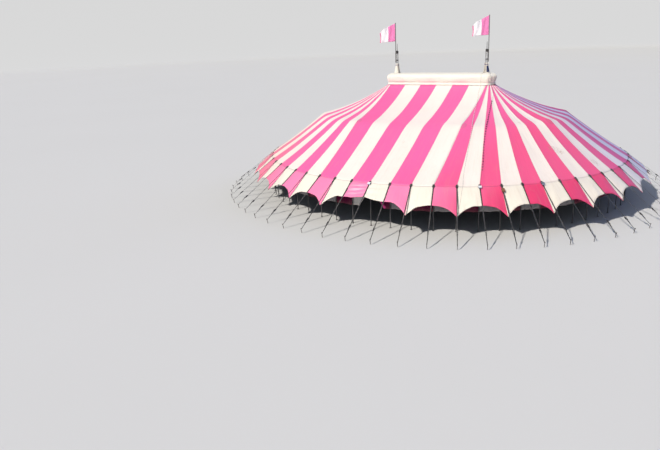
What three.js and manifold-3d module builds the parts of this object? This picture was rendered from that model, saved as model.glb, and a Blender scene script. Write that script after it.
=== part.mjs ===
// A two-pole circus big top: an oval tent of striped canvas on king poles, quarter poles and side poles.
// Millimetres, +Z up. The origin is the tent's centre on the ground, +X runs from the left king pole to the
// right one, and the front, with the entrance, faces -Y.
//
// The canvas hangs from 64 seams. Seams -6 to 0 cross the front's straight crown, 0 to 26 fan round the right
// end, and the other half is the same turned by half a turn. Even seams start a pink gore, odd ones a white
// one.

import * as THREE from 'three';
import { mergeVertices } from 'three/addons/utils/BufferGeometryUtils.js';
import Module from 'manifold-3d';

const wasm = await Module();
wasm.setup();

// Plan
const STRAIGHT_GORES = 6;
const END_GORES = 26;
const SEAMS = 2 * (STRAIGHT_GORES + END_GORES);
const HALF_TURN = SEAMS / 2;
const CROWN_GORE = 1240;
const EAVE_GORE = 1320;
const CROWN_HALF_WIDTH = 700;
const CROWN_END = 340;
const EAVE_HALF_LENGTH = 13300;
const EAVE_HALF_WIDTH = 11800;
const FAN_CENTRE = CROWN_GORE * STRAIGHT_GORES / 2;

// Heights of the canvas
const EAVE_HEIGHT = 2800;
const CROWN_HEIGHT = 7750;
const KINK_HEIGHT = 5710;
const KINK_STATION = 0.52;
const KINK_SHARE_SIDE = 0.505;
const KINK_SHARE_END = 0.557;
const KINK_DIP = 160;
const KINK_SHARPNESS = 2.5;
const UPPER_SAG = 250;
const LOWER_SAG = 80;
const CANVAS = 12;
const ROOF_STATIONS = [-0.008, 0, 0.17, 0.34, KINK_STATION, 0.75, 1];

// Quarter poles stand under these seams
const QUARTER_SEAMS = [0, 9, 17, 26, 32, 41, 49, 58];

// Valance, the sloping drop of canvas outside the eave, and where its scalloped edge lies
const ARCH = { outset: 1160, height: 1919 };
const TIP = { outset: 1543, height: 1353 };
const ARCH_POWER = 2.8;
const VALANCE_STEPS = 4;
const ENTRANCE_SEAM = -3;
const ENTRANCE_EDGE = {
  [-4]: { outset: 1020, height: 2020 },
  [-3]: { outset: 860, height: 2140 },
  [-2]: { outset: 1060, height: 1990 },
};

// Side wall, the raised band inside the side poles. Beside the entrance its hem is drawn up to the eave.
const WALL_INSET_SHARE = 0.0075;
const WALL_BOTTOM = 1200;
const WALL_THICKNESS = 10;
const WALL_TOP_GAP = 3.2;
const FLAP_RISE = 1350;
const FLAP_GORES = 0.65;
const FLAP_STEPS = 4;

// Side poles, eave cable, guys and stakes. Each pole's spigot stands through the canvas and holds a guy.
const SIDE_POLE_RADIUS = 28;
const SIDE_POLE_INSET = 30;
const SIDE_POLE_TOP = 2788.4;
const SPIGOT_RADIUS = 9;
const SPIGOT_TOP = 2838;
const GUY_TOP = 2834;
const GUY_RADIUS = 11;
const GUY_HALF = GUY_RADIUS * Math.SQRT1_2;
const CABLE_RADIUS = 9;
const CABLE_HEIGHT = 2740;
const STAKE_FOOT_OUTSET = 3320;
const STAKE_TOP_OUTSET = 3392;
const STAKE_HEIGHT = 330;
const STAKE_RADIUS = 17;
const TIE_HEIGHT = 250;
const TIE_OUTSET = 3374;

// King poles, sleeves and flags
const KING_POLE_X = 3480;
const KING_POLE_RADIUS = 100;
const TOPMAST_RADIUS = 55;
const FLAG_POLE_RADIUS = 28;
const FLAG_POLE_SIDES = 12;
const FLAG_POLE_FACE = FLAG_POLE_RADIUS * Math.cos(Math.PI / FLAG_POLE_SIDES);
const KING_POLE_TOP = 10150;
const TOPMAST_TOP = 10700;
const FLAG_POLE_FOOT = 9300;
const FLAG_POLE_OUTSET = 122;
const FLAG_POLE_TOPS = { left: 12230, right: 12500 };
const SLEEVE_HEIGHT = 690;
const ROUND_SIDES = 16;
const FLAG_LENGTH = 1170;
const FLAG_DEPTH = 1310;
const FLAG_FALL = 720;
const FLAG_WAVE = 70;
const FLAG_THICKNESS = 8;
const WIND = new THREE.Vector3(-0.859, -0.513, 0).normalize();

// Crown cap and crown frame
const CAP_TOP = 8540;
const CAP_THICKNESS = 30;
const FRAME_BOTTOM = 7640;
const BEAM_HEIGHT = 60;
const BEAM_WIDTH = 80;
const COLLAR_RADIUS = 170;

// Quarter poles
const QUARTER_RADIUS = 40;
const QUARTER_TIP_RADIUS = 6;
const QUARTER_TIP_DROP = 4.7;

// Lamps and the cable box, seated on guys outside the eave
const LAMP_SEAMS = [-3, 2, 5];
const LAMP_SIZE = new THREE.Vector3(170, 210, 110);
const LAMP_OUTSET = 100;
const BOX_SEAM = 3;
const BOX_SIZE = new THREE.Vector3(260, 180, 90);
const BOX_OUTSET = 330;

// Small gaps between pieces that touch
const GAP = 0.3;
const CROWN_GAP = 1.4;
const SEAM_TRIM = 0.00013;

const COLOURS = {
  canvas: new THREE.MeshStandardMaterial({ color: 0xf27ab0, roughness: 0.55 }),
  crown: new THREE.MeshStandardMaterial({ color: 0xeee8da, roughness: 0.6 }),
  wall: new THREE.MeshStandardMaterial({ color: 0x9a3a68, roughness: 0.7 }),
  flag: new THREE.MeshStandardMaterial({ color: 0xf7a6c8, roughness: 0.7 }),
  pole: new THREE.MeshStandardMaterial({ color: 0x9aa0a4, roughness: 0.45, metalness: 0.8 }),
  guy: new THREE.MeshStandardMaterial({ color: 0x3a3a3c, roughness: 0.6, metalness: 0.3 }),
  lamp: new THREE.MeshStandardMaterial({ color: 0xd8dce2, roughness: 0.4 }),
  box: new THREE.MeshStandardMaterial({ color: 0x6a4a34, roughness: 0.8 }),
};

const lerp = (a, b, t) => a + (b - a) * t;
const lerpPoint = (a, b, t) => a.clone().lerp(b, t);

// A seam number brought into -6 to 57, and whether it lies on the turned half.
function foldSeam(seam) {
  const first = -STRAIGHT_GORES;
  const number = ((seam - first) % SEAMS + SEAMS) % SEAMS + first;
  return number > END_GORES ? { number: number - HALF_TURN, turned: true } : { number, turned: false };
}

// Where a seam of the unturned half meets the crown and the eave, in plan.
function halfSeam(number) {
  if (number <= 0) {
    const x = (number + STRAIGHT_GORES / 2) * EAVE_GORE;
    const y = -EAVE_HALF_WIDTH * Math.sqrt(1 - (x / EAVE_HALF_LENGTH) ** 2);
    const crown = new THREE.Vector2((number + STRAIGHT_GORES / 2) * CROWN_GORE, -CROWN_HALF_WIDTH);
    return { crown, eave: new THREE.Vector2(x, y) };
  }
  const first = halfSeam(0).eave;
  const firstAngle = Math.atan2(first.x - FAN_CENTRE, -first.y);
  const angle = firstAngle + number * (Math.PI - 2 * firstAngle) / END_GORES;
  const ray = new THREE.Vector2(Math.sin(angle), -Math.cos(angle));
  const square = (ray.x / EAVE_HALF_LENGTH) ** 2 + (ray.y / EAVE_HALF_WIDTH) ** 2;
  const linear = 2 * FAN_CENTRE * ray.x / EAVE_HALF_LENGTH ** 2;
  const rest = (FAN_CENTRE / EAVE_HALF_LENGTH) ** 2 - 1;
  const reach = (-linear + Math.sqrt(linear * linear - 4 * square * rest)) / (2 * square);
  const centre = new THREE.Vector2(FAN_CENTRE, 0);
  const crownReach = 1 / Math.hypot(ray.x / CROWN_END, ray.y / CROWN_HALF_WIDTH);
  const crown = ray.clone().multiplyScalar(crownReach).add(centre);
  return { crown, eave: ray.multiplyScalar(reach).add(centre) };
}

// Crown point, eave point and outward direction of a whole-numbered seam.
function wholeSeam(seam) {
  const { number, turned } = foldSeam(seam);
  const half = halfSeam(number);
  const sign = turned ? -1 : 1;
  const crown = half.crown.multiplyScalar(sign);
  const eave = half.eave.multiplyScalar(sign);
  const outward = new THREE.Vector2(eave.x / EAVE_HALF_LENGTH ** 2, eave.y / EAVE_HALF_WIDTH ** 2);
  return { crown, eave, outward: outward.normalize() };
}

// The quarter pole before a whole-numbered seam, and how far the seam lies from it towards the next one.
function betweenPoles(seam) {
  const { number, turned } = foldSeam(seam);
  const place = turned ? number + HALF_TURN : number;
  const stops = [-STRAIGHT_GORES, ...QUARTER_SEAMS];
  const next = Math.max(1, stops.findIndex((stop) => stop >= place));
  return { pole: next - 1, part: (place - stops[next - 1]) / (stops[next] - stops[next - 1]) };
}

// Height of the canvas at the quarter poles' line: it dips between two poles.
function kinkHeight(seam) {
  const { part } = betweenPoles(seam);
  return KINK_HEIGHT - KINK_DIP * (1 - Math.abs(2 * part - 1) ** KINK_SHARPNESS);
}

// Share of the way from crown to eave, in plan, at a station of the slope. The quarter poles' line lies further
// out at the tent's ends. Of each four poles the first two stand at a side and the other two at an end.
function planShare(seam, station) {
  const shareAt = (pole) => (pole % 4 < 2 ? KINK_SHARE_SIDE : KINK_SHARE_END);
  const { pole, part } = betweenPoles(seam);
  const kink = lerp(shareAt(pole), shareAt(pole + 1), part);
  if (station <= KINK_STATION) return kink * station / KINK_STATION;
  return 1 - (1 - kink) * (1 - station) / (1 - KINK_STATION);
}

// Height of the canvas over a whole-numbered seam, at a station of the slope.
function seamHeight(seam, station) {
  const kink = kinkHeight(seam);
  const upper = station / KINK_STATION;
  if (station <= 0) return CROWN_HEIGHT - upper * (CROWN_HEIGHT - kink + 4 * UPPER_SAG);
  if (station <= KINK_STATION) return lerp(CROWN_HEIGHT, kink, upper) - 4 * UPPER_SAG * upper * (1 - upper);
  const lower = (station - KINK_STATION) / (1 - KINK_STATION);
  return lerp(kink, EAVE_HEIGHT, lower) - 4 * LOWER_SAG * lower * (1 - lower);
}

// A point of the faceted roof: straight between the listed stations and between whole seams.
function roofPoint(seam, station) {
  const low = Math.floor(seam);
  if (seam !== low) return lerpPoint(roofPoint(low, station), roofPoint(low + 1, station), seam - low);
  const { crown, eave } = wholeSeam(seam);
  const plan = crown.clone().lerp(eave, planShare(seam, station));
  const next = Math.max(1, ROOF_STATIONS.findIndex((value) => value >= station));
  const [from, to] = [ROOF_STATIONS[next - 1], ROOF_STATIONS[next]];
  const height = lerp(seamHeight(seam, from), seamHeight(seam, to), (station - from) / (to - from));
  return new THREE.Vector3(plan.x, plan.y, height);
}

// A point beside the eave: out along the seam's outward direction, at a height.
function besideSeam(seam, outset, height) {
  const low = Math.floor(seam);
  if (seam !== low) {
    return lerpPoint(besideSeam(low, outset, height), besideSeam(low + 1, outset, height), seam - low);
  }
  const { eave, outward } = wholeSeam(seam);
  return new THREE.Vector3(eave.x + outward.x * outset, eave.y + outward.y * outset, height);
}

function edgeCorner(seam) {
  const { number, turned } = foldSeam(seam);
  if (!turned && number in ENTRANCE_EDGE) return ENTRANCE_EDGE[number];
  return number % 2 === 0 ? ARCH : TIP;
}

// The scalloped lower edge: an arch at each even seam and a point at each odd one.
function valanceEdge(seam) {
  const low = Math.floor(seam);
  if (seam === low) return edgeCorner(seam);
  const even = low % 2 === 0 ? low : low + 1;
  const odd = low % 2 === 0 ? low + 1 : low;
  const [arch, tip] = [edgeCorner(even), edgeCorner(odd)];
  const share = Math.abs(seam - even) ** ARCH_POWER;
  return { outset: lerp(arch.outset, tip.outset, share), height: lerp(arch.height, tip.height, share) };
}

function down(point, drop) {
  return new THREE.Vector3(point.x, point.y, point.z - drop);
}

// Collects points and triangles and returns an indexed geometry with merged corners.
class Faces {
  constructor() {
    this.positions = [];
  }

  triangle(a, b, c) {
    for (const point of [a, b, c]) this.positions.push(point.x, point.y, point.z);
  }

  quad(a, b, c, d) {
    this.triangle(a, b, c);
    this.triangle(a, c, d);
  }

  geometry() {
    const geometry = new THREE.BufferGeometry();
    geometry.setAttribute('position', new THREE.Float32BufferAttribute(this.positions, 3));
    return mergeVertices(geometry, 1e-3);
  }
}

// A closed sheet between two grids of points, rows outward or downward and columns anticlockwise.
function sheetSolid(upper, lower) {
  const faces = new Faces();
  const lastRow = upper.length - 1;
  const lastColumn = upper[0].length - 1;
  for (let r = 0; r < lastRow; r += 1) {
    for (let c = 0; c < lastColumn; c += 1) {
      faces.quad(upper[r][c], upper[r + 1][c], upper[r + 1][c + 1], upper[r][c + 1]);
      faces.quad(lower[r][c], lower[r][c + 1], lower[r + 1][c + 1], lower[r + 1][c]);
    }
    faces.quad(upper[r][0], lower[r][0], lower[r + 1][0], upper[r + 1][0]);
    const [above, below] = [upper[r][lastColumn], upper[r + 1][lastColumn]];
    faces.quad(below, lower[r + 1][lastColumn], lower[r][lastColumn], above);
  }
  for (let c = 0; c < lastColumn; c += 1) {
    faces.quad(upper[0][c + 1], lower[0][c + 1], lower[0][c], upper[0][c]);
    faces.quad(upper[lastRow][c], lower[lastRow][c], lower[lastRow][c + 1], upper[lastRow][c + 1]);
  }
  return faces.geometry();
}

// A closed band round the whole tent: a loop of rings, each a loop of points, outer ones before lower ones.
function loopSolid(rings) {
  const faces = new Faces();
  rings.forEach((ring, r) => {
    const next = rings[(r + 1) % rings.length];
    ring.forEach((point, c) => {
      const after = (c + 1) % ring.length;
      faces.quad(point, next[c], next[after], ring[after]);
    });
  });
  return faces.geometry();
}

// A closed dome with a hollow underside: rings from rim to top outside, and from rim to top inside.
function domeSolid(outer, inner, outerTop, innerTop) {
  const faces = new Faces();
  const count = outer[0].length;
  for (let c = 0; c < count; c += 1) {
    const after = (c + 1) % count;
    for (let r = 0; r < outer.length - 1; r += 1) {
      faces.quad(outer[r][c], outer[r][after], outer[r + 1][after], outer[r + 1][c]);
    }
    for (let r = 0; r < inner.length - 1; r += 1) {
      faces.quad(inner[r][c], inner[r + 1][c], inner[r + 1][after], inner[r][after]);
    }
    faces.triangle(outer.at(-1)[c], outer.at(-1)[after], outerTop);
    faces.triangle(inner.at(-1)[c], innerTop, inner.at(-1)[after]);
    faces.quad(outer[0][c], inner[0][c], inner[0][after], outer[0][after]);
  }
  return faces.geometry();
}

// A straight bar between two points. A standing bar has level ends; another has square ends.
function bar(start, end, radius, sides, standing) {
  const axis = end.clone().sub(start).normalize();
  const across = standing ? new THREE.Vector3(1, 0, 0) : new THREE.Vector3(0, 0, 1).cross(axis).normalize();
  const upward = standing ? new THREE.Vector3(0, 1, 0) : axis.clone().cross(across);
  const ring = (centre) => Array.from({ length: sides }, (_, i) => {
    const angle = 2 * Math.PI * (i + 0.5) / sides;
    return centre.clone()
      .addScaledVector(across, radius * Math.cos(angle))
      .addScaledVector(upward, radius * Math.sin(angle));
  });
  const faces = new Faces();
  const [first, last] = [ring(start), ring(end)];
  for (let i = 0; i < sides; i += 1) {
    const after = (i + 1) % sides;
    faces.quad(first[i], first[after], last[after], last[i]);
    faces.triangle(start, first[after], first[i]);
    faces.triangle(end, last[i], last[after]);
  }
  return faces.geometry();
}

function toSolid(geometry) {
  const clean = geometry.clone();
  clean.deleteAttribute('normal');
  clean.deleteAttribute('uv');
  const merged = mergeVertices(clean, 1e-3);
  return new wasm.Manifold(new wasm.Mesh({
    numProp: 3,
    vertProperties: new Float32Array(merged.attributes.position.array),
    triVerts: new Uint32Array(merged.index.array),
  }));
}

function toGeometry(solid) {
  const mesh = solid.getMesh();
  const geometry = new THREE.BufferGeometry();
  geometry.setAttribute('position', new THREE.Float32BufferAttribute(mesh.vertProperties, mesh.numProp));
  geometry.setIndex(new THREE.Uint32BufferAttribute(mesh.triVerts, 1));
  return geometry;
}

function join(geometries) {
  return geometries.map(toSolid).reduce((whole, piece) => whole.add(piece));
}

// Seam positions of a section, trimmed at both ends so that neighbours nearly touch.
function sectionSeams(first, last, steps = 1) {
  const count = (last - first) * steps;
  return Array.from({ length: count + 1 }, (_, i) => {
    if (i === 0) return first + SEAM_TRIM;
    return i === count ? last - SEAM_TRIM : first + i / steps;
  });
}

// A section of the roof, with a hole for the spigot of each side pole.
function roofSection(first, last) {
  const seams = sectionSeams(first, last);
  const upper = ROOF_STATIONS.map((station) => seams.map((seam) => roofPoint(seam, station)));
  const lower = upper.map((row) => row.map((point) => down(point, CANVAS)));
  let solid = toSolid(sheetSolid(upper, lower));
  for (let seam = first; seam <= last; seam += 1) {
    const foot = poleHead(seam, SIDE_POLE_TOP - CANVAS);
    const hole = bar(foot, poleHead(seam, SPIGOT_TOP + CANVAS), SPIGOT_RADIUS + 2 * GAP, 4, true);
    solid = solid.subtract(toSolid(hole));
  }
  return toGeometry(solid);
}

function valanceSection(first, last) {
  const seams = sectionSeams(first, last, VALANCE_STEPS);
  const edges = seams.map(valanceEdge);
  const upper = [
    seams.map((seam) => besideSeam(seam, GAP, EAVE_HEIGHT)),
    seams.map((seam, i) => besideSeam(seam, edges[i].outset, edges[i].height)),
  ];
  const lower = upper.map((row) => row.map((point) => down(point, CANVAS)));
  return sheetSolid(upper, lower);
}

// Height of the side wall's hem at a seam.
function wallBottom(seam) {
  const open = Math.max(0, 1 - Math.abs(seam - ENTRANCE_SEAM) / FLAP_GORES);
  return WALL_BOTTOM + FLAP_RISE * open;
}

function wallSection(first, last, steps) {
  const seams = sectionSeams(first, last, steps);
  const face = (station) => {
    const top = seams.map((seam) => down(roofPoint(seam, station), CANVAS + WALL_TOP_GAP));
    return [top, top.map((point, i) => new THREE.Vector3(point.x, point.y, wallBottom(seams[i])))];
  };
  const outer = 1 - WALL_INSET_SHARE;
  return sheetSolid(face(outer), face(outer - WALL_THICKNESS / EAVE_HALF_WIDTH));
}

function poleHead(seam, height) {
  return besideSeam(seam, -SIDE_POLE_INSET, height);
}

function guyTie(seam) {
  return besideSeam(seam, TIE_OUTSET, TIE_HEIGHT);
}

// Side poles under each seam, the cable that links their heads, and a guy over the canvas to each stake.
function guyedPoles(first, last) {
  const pieces = [];
  for (let seam = first; seam < last; seam += 1) {
    pieces.push(bar(poleHead(seam, 0), poleHead(seam, SIDE_POLE_TOP), SIDE_POLE_RADIUS, 6, true));
    pieces.push(bar(poleHead(seam, CABLE_HEIGHT), poleHead(seam, SPIGOT_TOP), SPIGOT_RADIUS, 4, true));
    pieces.push(bar(poleHead(seam, GUY_TOP), guyTie(seam), GUY_RADIUS, 4, false));
    const foot = besideSeam(seam, STAKE_FOOT_OUTSET, 0);
    pieces.push(bar(foot, besideSeam(seam, STAKE_TOP_OUTSET, STAKE_HEIGHT), STAKE_RADIUS, 6, true));
    const [here, next] = [poleHead(seam, CABLE_HEIGHT), poleHead(seam + 1, CABLE_HEIGHT)];
    const stop = seam + 1 < last ? 1 : 1 - (SIDE_POLE_RADIUS + GAP) / next.distanceTo(here);
    pieces.push(bar(here, lerpPoint(here, next, stop), CABLE_RADIUS, 4, false));
  }
  return toGeometry(join(pieces));
}

// A ring of points round the crown at a plan distance outside the roof's crown edge and a height.
function crownRing(outset, height) {
  return Array.from({ length: SEAMS }, (_, seam) => {
    const { number, turned } = foldSeam(seam);
    const { crown } = wholeSeam(seam);
    const centre = new THREE.Vector2(number <= 0 ? crown.x : (turned ? -FAN_CENTRE : FAN_CENTRE), 0);
    const ray = crown.clone().sub(centre).normalize();
    return new THREE.Vector3(crown.x + ray.x * outset, crown.y + ray.y * outset, height);
  });
}

// A ring of points that follows the roof at a station of its slope, a little above or below it.
function roofRing(station, drop) {
  return Array.from({ length: SEAMS }, (_, seam) => down(roofPoint(seam, station), drop));
}

function kingPoleHoles(bottom, top) {
  return [-KING_POLE_X, KING_POLE_X].map((x) => {
    const radius = KING_POLE_RADIUS + 2 * GAP;
    const hole = new THREE.CylinderGeometry(radius, radius, top - bottom, ROUND_SIDES);
    hole.rotateX(Math.PI / 2);
    hole.rotateZ(-Math.PI / 2);
    hole.translate(x, 0, (top + bottom) / 2);
    return toSolid(hole);
  });
}

// The padded canvas cap: a flat strip at the crown edge, a fat roll above it and a nearly flat top.
function crownCap() {
  const profile = [[22, 7930], [80, 7970], [130, 8110], [130, 8290], [50, 8450], [-180, 8530]];
  const insideProfile = [[-10, 7950], [95, 8090], [105, 8230], [-10, 8440]];
  const lid = -250;
  const rings = (points) => points.map(([outset, height]) => crownRing(outset, height));
  const outer = [roofRing(0.003, -CROWN_GAP), ...rings([...profile, [lid, CAP_TOP]])];
  const inner = [roofRing(0, -CROWN_GAP), ...rings([...insideProfile, [lid, CAP_TOP - CAP_THICKNESS]])];
  const outerTop = new THREE.Vector3(0, 0, CAP_TOP);
  const innerTop = new THREE.Vector3(0, 0, CAP_TOP - CAP_THICKNESS);
  const dome = toSolid(domeSolid(outer, inner, outerTop, innerTop));
  const holes = kingPoleHoles(CAP_TOP - 3 * CAP_THICKNESS, CAP_TOP + CAP_THICKNESS);
  return toGeometry(holes.reduce((solid, hole) => solid.subtract(hole), dome));
}

// The steel crown frame: a rim under the roof's crown edge, beams and a collar on each king pole.
function crownFrame() {
  const bottomOf = (ring) => ring.map((point) => new THREE.Vector3(point.x, point.y, FRAME_BOTTOM));
  const top = CANVAS + CROWN_GAP;
  const [innerTop, outerTop] = [roofRing(-0.006, top), roofRing(0.0005, top)];
  const pieces = [loopSolid([innerTop, outerTop, bottomOf(outerTop), bottomOf(innerTop)])];
  const beamMiddle = FRAME_BOTTOM + BEAM_HEIGHT / 2;
  for (const x of [-KING_POLE_X, KING_POLE_X]) {
    const cross = new THREE.BoxGeometry(BEAM_WIDTH, 2 * CROWN_HALF_WIDTH - 60, BEAM_HEIGHT);
    cross.translate(x, 0, beamMiddle);
    const collar = new THREE.CylinderGeometry(COLLAR_RADIUS, COLLAR_RADIUS, BEAM_HEIGHT, ROUND_SIDES);
    collar.rotateX(Math.PI / 2);
    collar.translate(x, 0, beamMiddle);
    pieces.push(cross, collar);
  }
  const ridge = new THREE.BoxGeometry(2 * KING_POLE_X, BEAM_WIDTH, BEAM_HEIGHT);
  ridge.translate(0, 0, beamMiddle);
  pieces.push(ridge);
  const holes = kingPoleHoles(FRAME_BOTTOM - BEAM_HEIGHT, FRAME_BOTTOM + 2 * BEAM_HEIGHT);
  return toGeometry(holes.reduce((solid, hole) => solid.subtract(hole), join(pieces)));
}

// A turned solid from radius and height pairs, standing up along +Z.
function turned(profile, sides = ROUND_SIDES) {
  const geometry = new THREE.LatheGeometry(profile.map(([r, z]) => new THREE.Vector2(r, z)), sides);
  geometry.rotateX(Math.PI / 2);
  return geometry;
}

// A king pole with its topmast, and the flag pole lashed to its outer side.
function kingPole(top, outward) {
  const mast = turned([
    [0, 0], [350, 0], [350, 25], [KING_POLE_RADIUS, 25], [KING_POLE_RADIUS, KING_POLE_TOP],
    [TOPMAST_RADIUS, KING_POLE_TOP + 60], [TOPMAST_RADIUS, TOPMAST_TOP], [0, TOPMAST_TOP],
  ]);
  const foot = new THREE.Vector3(outward * FLAG_POLE_OUTSET, 0, FLAG_POLE_FOOT);
  const tip = foot.clone().setZ(top);
  return toGeometry(join([mast, bar(foot, tip, FLAG_POLE_RADIUS, FLAG_POLE_SIDES, true)]));
}

function mastSleeve() {
  const hole = KING_POLE_RADIUS + 2 * GAP;
  const foot = CAP_TOP + GAP;
  return turned([
    [hole, foot], [225, foot], [205, foot + 110], [165, foot + 330], [140, foot + 560],
    [145, foot + SLEEVE_HEIGHT - 20], [hole, foot + SLEEVE_HEIGHT], [hole, foot],
  ]);
}

// A flag that flies down the wind from its pole and falls towards its free edge.
function flag(poleTop) {
  const [rows, columns] = [4, 10];
  const across = new THREE.Vector3(WIND.y, -WIND.x, 0);
  const hoistTop = poleTop - 40;
  const point = (r, c, side) => {
    const along = c / columns;
    const top = hoistTop - FLAG_FALL * along;
    const bottom = hoistTop - FLAG_DEPTH - 60 * along;
    const wave = FLAG_WAVE * Math.min(1, 3 * along) * Math.sin(2.3 * Math.PI * along + 0.8 * r / rows);
    return new THREE.Vector3(0, 0, lerp(top, bottom, r / rows))
      .addScaledVector(WIND, FLAG_POLE_FACE + GAP + FLAG_LENGTH * along)
      .addScaledVector(across, wave * along + side * FLAG_THICKNESS / 2);
  };
  const grid = (side) => Array.from({ length: rows + 1 }, (_, r) => (
    Array.from({ length: columns + 1 }, (__, c) => point(r, c, side))));
  return sheetSolid(grid(1), grid(-1));
}

function quarterPole() {
  const tip = KINK_HEIGHT - CANVAS - QUARTER_TIP_DROP;
  return turned([
    [0, 0], [150, 0], [150, 12], [QUARTER_RADIUS, 12], [QUARTER_RADIUS, tip - 60],
    [QUARTER_TIP_RADIUS, tip], [0, tip],
  ], 12);
}

// A box seated on a guy, its long side along the eave.
function boxOnGuy(seam, size, outset) {
  const { outward } = wholeSeam(seam);
  const [head, tie] = [poleHead(seam, GUY_TOP), guyTie(seam)];
  const slope = tie.clone().sub(head).normalize();
  const along = new THREE.Vector3(-outward.y, outward.x, 0);
  const above = slope.clone().cross(along);
  const share = (outset + SIDE_POLE_INSET) / (TIE_OUTSET + SIDE_POLE_INSET);
  const centre = lerpPoint(head, tie, share).addScaledVector(above, GUY_HALF + GAP + size.z / 2);
  const geometry = new THREE.BoxGeometry(size.x, size.y, size.z);
  geometry.applyMatrix4(new THREE.Matrix4().makeBasis(slope, along, above).setPosition(centre));
  return geometry;
}

const tent = new THREE.Group();

function add(name, geometry, material, x = 0, y = 0) {
  const mesh = new THREE.Mesh(geometry, material);
  mesh.name = name;
  mesh.position.set(x, y, 0);
  tent.add(mesh);
}

const SECTIONS = [
  ['front', -6, 0], ['right_front', 0, 13], ['right_back', 13, 26],
  ['back', 26, 32], ['left_back', 32, 45], ['left_front', 45, 58],
];
for (const [name, first, last] of SECTIONS) {
  add(`roof_${name}`, roofSection(first, last), COLOURS.canvas);
  add(`valance_${name}`, valanceSection(first, last), COLOURS.canvas);
  add(`side_poles_guys_${name}`, guyedPoles(first, last), COLOURS.guy);
}

const WALLS = [
  ['front_left', -6, ENTRANCE_SEAM, FLAP_STEPS], ['front_right', ENTRANCE_SEAM, 0, FLAP_STEPS],
  ...SECTIONS.slice(1),
];
for (const [name, first, last, steps] of WALLS) {
  add(`side_wall_${name}`, wallSection(first, last, steps), COLOURS.wall);
}

for (const [side, x] of [['left', -KING_POLE_X], ['right', KING_POLE_X]]) {
  add(`king_pole_${side}`, kingPole(FLAG_POLE_TOPS[side], Math.sign(x)), COLOURS.pole, x);
  add(`mast_sleeve_${side}`, mastSleeve(), COLOURS.crown, x);
  const hoist = x + Math.sign(x) * FLAG_POLE_OUTSET;
  add(`flag_${side}`, flag(FLAG_POLE_TOPS[side]), COLOURS.flag, hoist);
}

add('crown_cap', crownCap(), COLOURS.crown);
add('crown_frame', crownFrame(), COLOURS.pole);

QUARTER_SEAMS.forEach((seam, index) => {
  const place = roofPoint(seam, KINK_STATION);
  add(`quarter_pole_${index + 1}`, quarterPole(), COLOURS.pole, place.x, place.y);
});

LAMP_SEAMS.forEach((seam, index) => {
  add(`floodlight_${index + 1}`, boxOnGuy(seam, LAMP_SIZE, LAMP_OUTSET), COLOURS.lamp);
});
add('cable_box', boxOnGuy(BOX_SEAM, BOX_SIZE, BOX_OUTSET), COLOURS.box);

export default tent;
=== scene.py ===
"""Looks of a two-pole circus big top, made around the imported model.

Metres, +Z up. The origin is the tent's centre on the ground, +X runs from the left king pole to the right
one, and the front, with the entrance, faces -Y. A seam number runs round the tent: -6 to 0 along the front's
straight crown, 0 to 26 round the right end, 26 to 32 along the back, 32 to 58 round the left end. A gore
that starts at an even seam is pink, the next one white. A station runs down the roof, 0 at the crown, 1 at
the eave. A drop runs down the valance and the side wall, from 0 at the top to 1 at the hem.
"""

import math

import bmesh
import bpy
import numpy as np
from mathutils import Matrix


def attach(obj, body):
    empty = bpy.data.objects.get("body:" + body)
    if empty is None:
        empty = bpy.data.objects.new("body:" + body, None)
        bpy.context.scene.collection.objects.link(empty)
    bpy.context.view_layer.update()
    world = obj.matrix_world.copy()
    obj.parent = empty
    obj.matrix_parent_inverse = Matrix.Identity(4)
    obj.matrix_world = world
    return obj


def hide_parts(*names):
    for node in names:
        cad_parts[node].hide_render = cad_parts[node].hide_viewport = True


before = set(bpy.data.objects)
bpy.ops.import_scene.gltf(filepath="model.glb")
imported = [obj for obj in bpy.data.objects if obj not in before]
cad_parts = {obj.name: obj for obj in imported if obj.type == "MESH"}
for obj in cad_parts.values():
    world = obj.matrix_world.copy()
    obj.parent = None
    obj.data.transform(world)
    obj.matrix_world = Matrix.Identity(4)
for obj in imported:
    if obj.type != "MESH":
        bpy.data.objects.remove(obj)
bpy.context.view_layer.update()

# Plan of the canvas
STRAIGHT_GORES = 6
END_GORES = 26
SEAMS = 2 * (STRAIGHT_GORES + END_GORES)
HALF_TURN = SEAMS // 2
CROWN_GORE = 1.24
EAVE_GORE = 1.32
CROWN_HALF_WIDTH = 0.7
CROWN_END = 0.34
EAVE_HALF_LENGTH = 13.3
EAVE_HALF_WIDTH = 11.8
FAN_CENTRE = CROWN_GORE * STRAIGHT_GORES / 2

# Heights of the canvas
EAVE_HEIGHT = 2.8
CROWN_HEIGHT = 7.75
KINK_HEIGHT = 5.71
KINK_STATION = 0.52
KINK_SHARE_SIDE = 0.505
KINK_SHARE_END = 0.557
KINK_DIP = 0.16
KINK_SHARPNESS = 2.5
UPPER_SAG = 0.25
LOWER_SAG = 0.08
QUARTER_SEAMS = (0, 9, 17, 26, 32, 41, 49, 58)

# Unevenness of the roof
KINK_ROUNDING = 2.2
KINK_WIDTH_AT_POLES = 0.004
KINK_WIDTH_BETWEEN = 0.03
SEAM_SINK = 0.03
RIPPLE_HEIGHT = 0.012
CROWN_CREASE = 0.008
CROWN_CREASE_REACH = 0.07
CROWN_CREASES_A_GORE = 2.5
TIP_CREASE = 0.02
TIP_CREASE_REACH = 0.7
TIP_CREASES = 7

# Valance and entrance
ARCH = (1.16, 1.919)
TIP = (1.543, 1.353)
ARCH_POWER = 2.8
ENTRANCE_SEAM = -3
ENTRANCE_EDGE = {-4: (1.02, 2.02), -3: (0.86, 2.14), -2: (1.06, 1.99)}
VALANCE_BELLY = 0.035
VALANCE_FOLD = 0.014
GATHER_GORES = 0.9
GATHER_DEPTH = 0.03
HEM_ROPE_RADIUS = 0.011

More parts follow.
